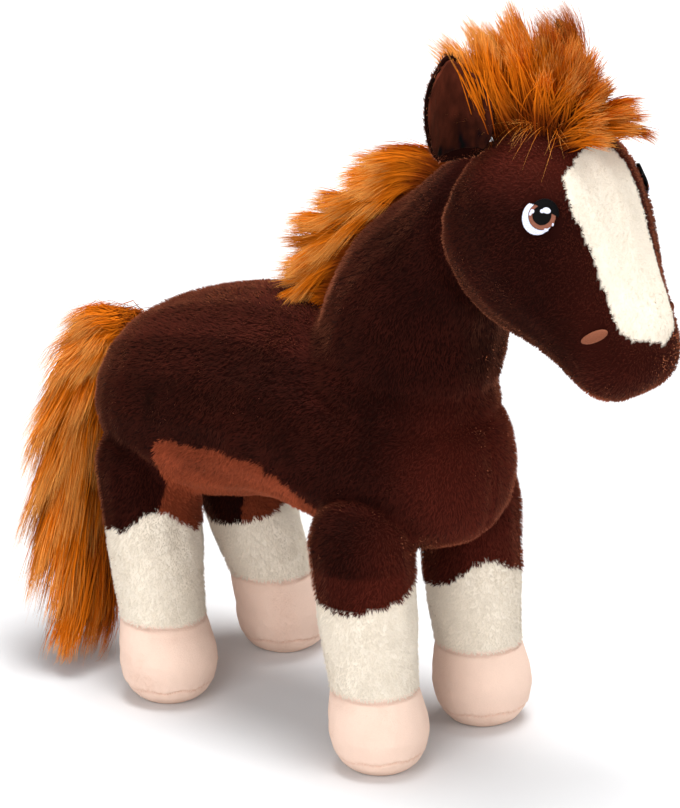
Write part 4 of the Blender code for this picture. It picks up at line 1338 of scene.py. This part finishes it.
class HORSE_OT_eyes(Operator):
    """The two embroidered eyes"""

    bl_idname = "plush_horse.eyes"
    bl_label = "Eyes"

    def execute(self, context):
        settings = context.scene.horse_eyes
        self.size = settings.width
        materials = (
            thread_material("thread_lid", tuple(settings.black)),
            thread_material("thread_iris", tuple(settings.iris)),
            thread_material("thread_white", tuple(settings.white)),
        )
        for side, name in ((-1, "right"), (1, "left")):
            shape = (side, self.size * 1.14, self.size * 1.06, 120)
            piece = stitched(f"eye_{name}_stitches", f"eye_{name}", *shape, self.picture, materials, 0.0012, -0.0014)
            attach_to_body(piece, "head")
            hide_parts(f"eye_{name}")
        return {"FINISHED"}

    def picture(self, x, y):
        """Which thread lies at each spot, and how far it stands up. The eye is 38.4 units wide and 41.5 high."""
        u, v = x / self.size * 38.4, y / self.size * 38.4

        def oval(at_u, at_v, half_u, half_v):
            return ((u - at_u) / half_u) ** 2 + ((v - at_v) / half_v) ** 2

        turn = np.arctan2(v - 2.5, u - 3.5)
        lash = 0.9 * np.abs(np.sin(turn * 19)) * (turn > 0.1) * (turn < 2.9)
        white = (oval(-2.5, -1.5, 16.7, 18.7) < 1) & (v < 10.5 + 0.5 * np.sin(u * 3))
        iris = oval(1.5, 1.0, 14.8, 15.2) < 1
        ring = (oval(1.5, 1.0, 14.8, 15.2) < 1) & (oval(1.5, 1.0, 13.9, 14.3) > 1) & (u < 6)
        pupil = oval(1.5, 1.8, 10.6, 10.8) < 1
        lid = (oval(3.4, 2.6, 15.2 + lash, 16.8 + lash) < 1) & (v > 9.0 - 0.28 * u)
        glint = (oval(5.3, 8.0, 4.3, 3.1) < 1) | (oval(0.6, 6.2, 2.0, 1.9) < 1)
        glint |= (oval(-9.6, 3.6, 2.0, 2.2) < 1) | (oval(-11.0, 0.6, 1.2, 1.9) < 1)
        glint |= (oval(15.2, -5.2, 0.9, 1.7) < 1) | (oval(9.6, -12.2, 2.2, 1.2) < 1)
        kind = np.zeros(len(u), int)
        rise = np.zeros(len(u))
        layers = ((3, white, 0.5), (2, iris, 0.7), (1, ring, 0.6), (1, pupil, 0.9), (1, lid, 1.1), (3, glint, 1.2))
        for number, area, lift in layers:
            kind[area] = number
            rise[area] = lift
        stitches = np.where(kind == 1, u * 0.9 + v * 0.25, np.hypot(u - 1.5, v - 1.0) * 0.25 + turn * 9)
        grain = 0.5 + 0.5 * np.cos(stitches * 2 * math.pi / 1.05)
        return kind, (rise * 0.0004 + grain * 0.00011) * (kind > 0)


class HORSE_OT_nostrils(Operator):
    """The two satin-stitched nostrils"""

    bl_idname = "plush_horse.nostrils"
    bl_label = "Nostrils"

    def execute(self, context):
        settings = context.scene.horse_eyes
        self.size = settings.nostril_length
        materials = (thread_material("thread_nostril", tuple(settings.nostril)),)
        for side, name in ((-1, "right"), (1, "left")):
            shape = (side, self.size * 0.9, self.size * 1.1, 90)
            piece = stitched(f"nostril_{name}_stitches", f"nostril_{name}", *shape, self.picture, materials, 0.0010)
            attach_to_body(piece, "head")
            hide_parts(f"nostril_{name}")
        return {"FINISHED"}

    def picture(self, x, y):
        """A tilted oval of stitches that lie across it."""
        u, v = x / self.size, y / self.size
        tilt = math.radians(31)
        along = u * math.cos(tilt) + v * math.sin(tilt)
        over = -u * math.sin(tilt) + v * math.cos(tilt)
        inside = (along / 0.5) ** 2 + (over / (0.185 + 0.03 * along)) ** 2
        crown = np.sqrt(np.maximum(0, 1 - inside))
        grain = 0.5 + 0.5 * np.cos((along + over * 0.25) * 2 * math.pi / 0.035)
        return (inside < 1).astype(int), 0.0007 * crown + 0.00014 * grain


class HORSE_PT_panel(Panel):
    bl_label = "Plush Horse"
    bl_idname = "HORSE_PT_panel"
    bl_space_type = "VIEW_3D"
    bl_region_type = "UI"
    bl_category = "Plush Horse"

    def draw(self, context):
        layout = self.layout
        for operator in operators:
            layout.operator(operator.bl_idname)
        for settings in settings_groups:
            group = getattr(context.scene, settings)
            box = layout.box()
            for name in group.__annotations__:
                box.prop(group, name)


operators = (
    HORSE_OT_stage,
    HORSE_OT_skins,
    HORSE_OT_hooves,
    HORSE_OT_pile,
    HORSE_OT_ears,
    HORSE_OT_eyes,
    HORSE_OT_nostrils,
    HORSE_OT_forelock,
    HORSE_OT_mane,
    HORSE_OT_tail,
)
settings_groups = {
    "horse_pile": PileSettings,
    "horse_hair": HairSettings,
    "horse_eyes": EyeSettings,
    "horse_stage": StageSettings,
}


def register():
    for group in settings_groups.values():
        bpy.utils.register_class(group)
    for operator in operators:
        bpy.utils.register_class(operator)
    bpy.utils.register_class(HORSE_PT_panel)
    for name, group in settings_groups.items():
        setattr(bpy.types.Scene, name, PointerProperty(type=group))


def unregister():
    for name in settings_groups:
        delattr(bpy.types.Scene, name)
    bpy.utils.unregister_class(HORSE_PT_panel)
    for operator in reversed(operators):
        bpy.utils.unregister_class(operator)
    for group in settings_groups.values():
        bpy.utils.unregister_class(group)


def main():
    register()
    for operator in operators:
        family, action = operator.bl_idname.split(".")
        getattr(getattr(bpy.ops, family), action)()


if __name__ == "__main__":
    main()
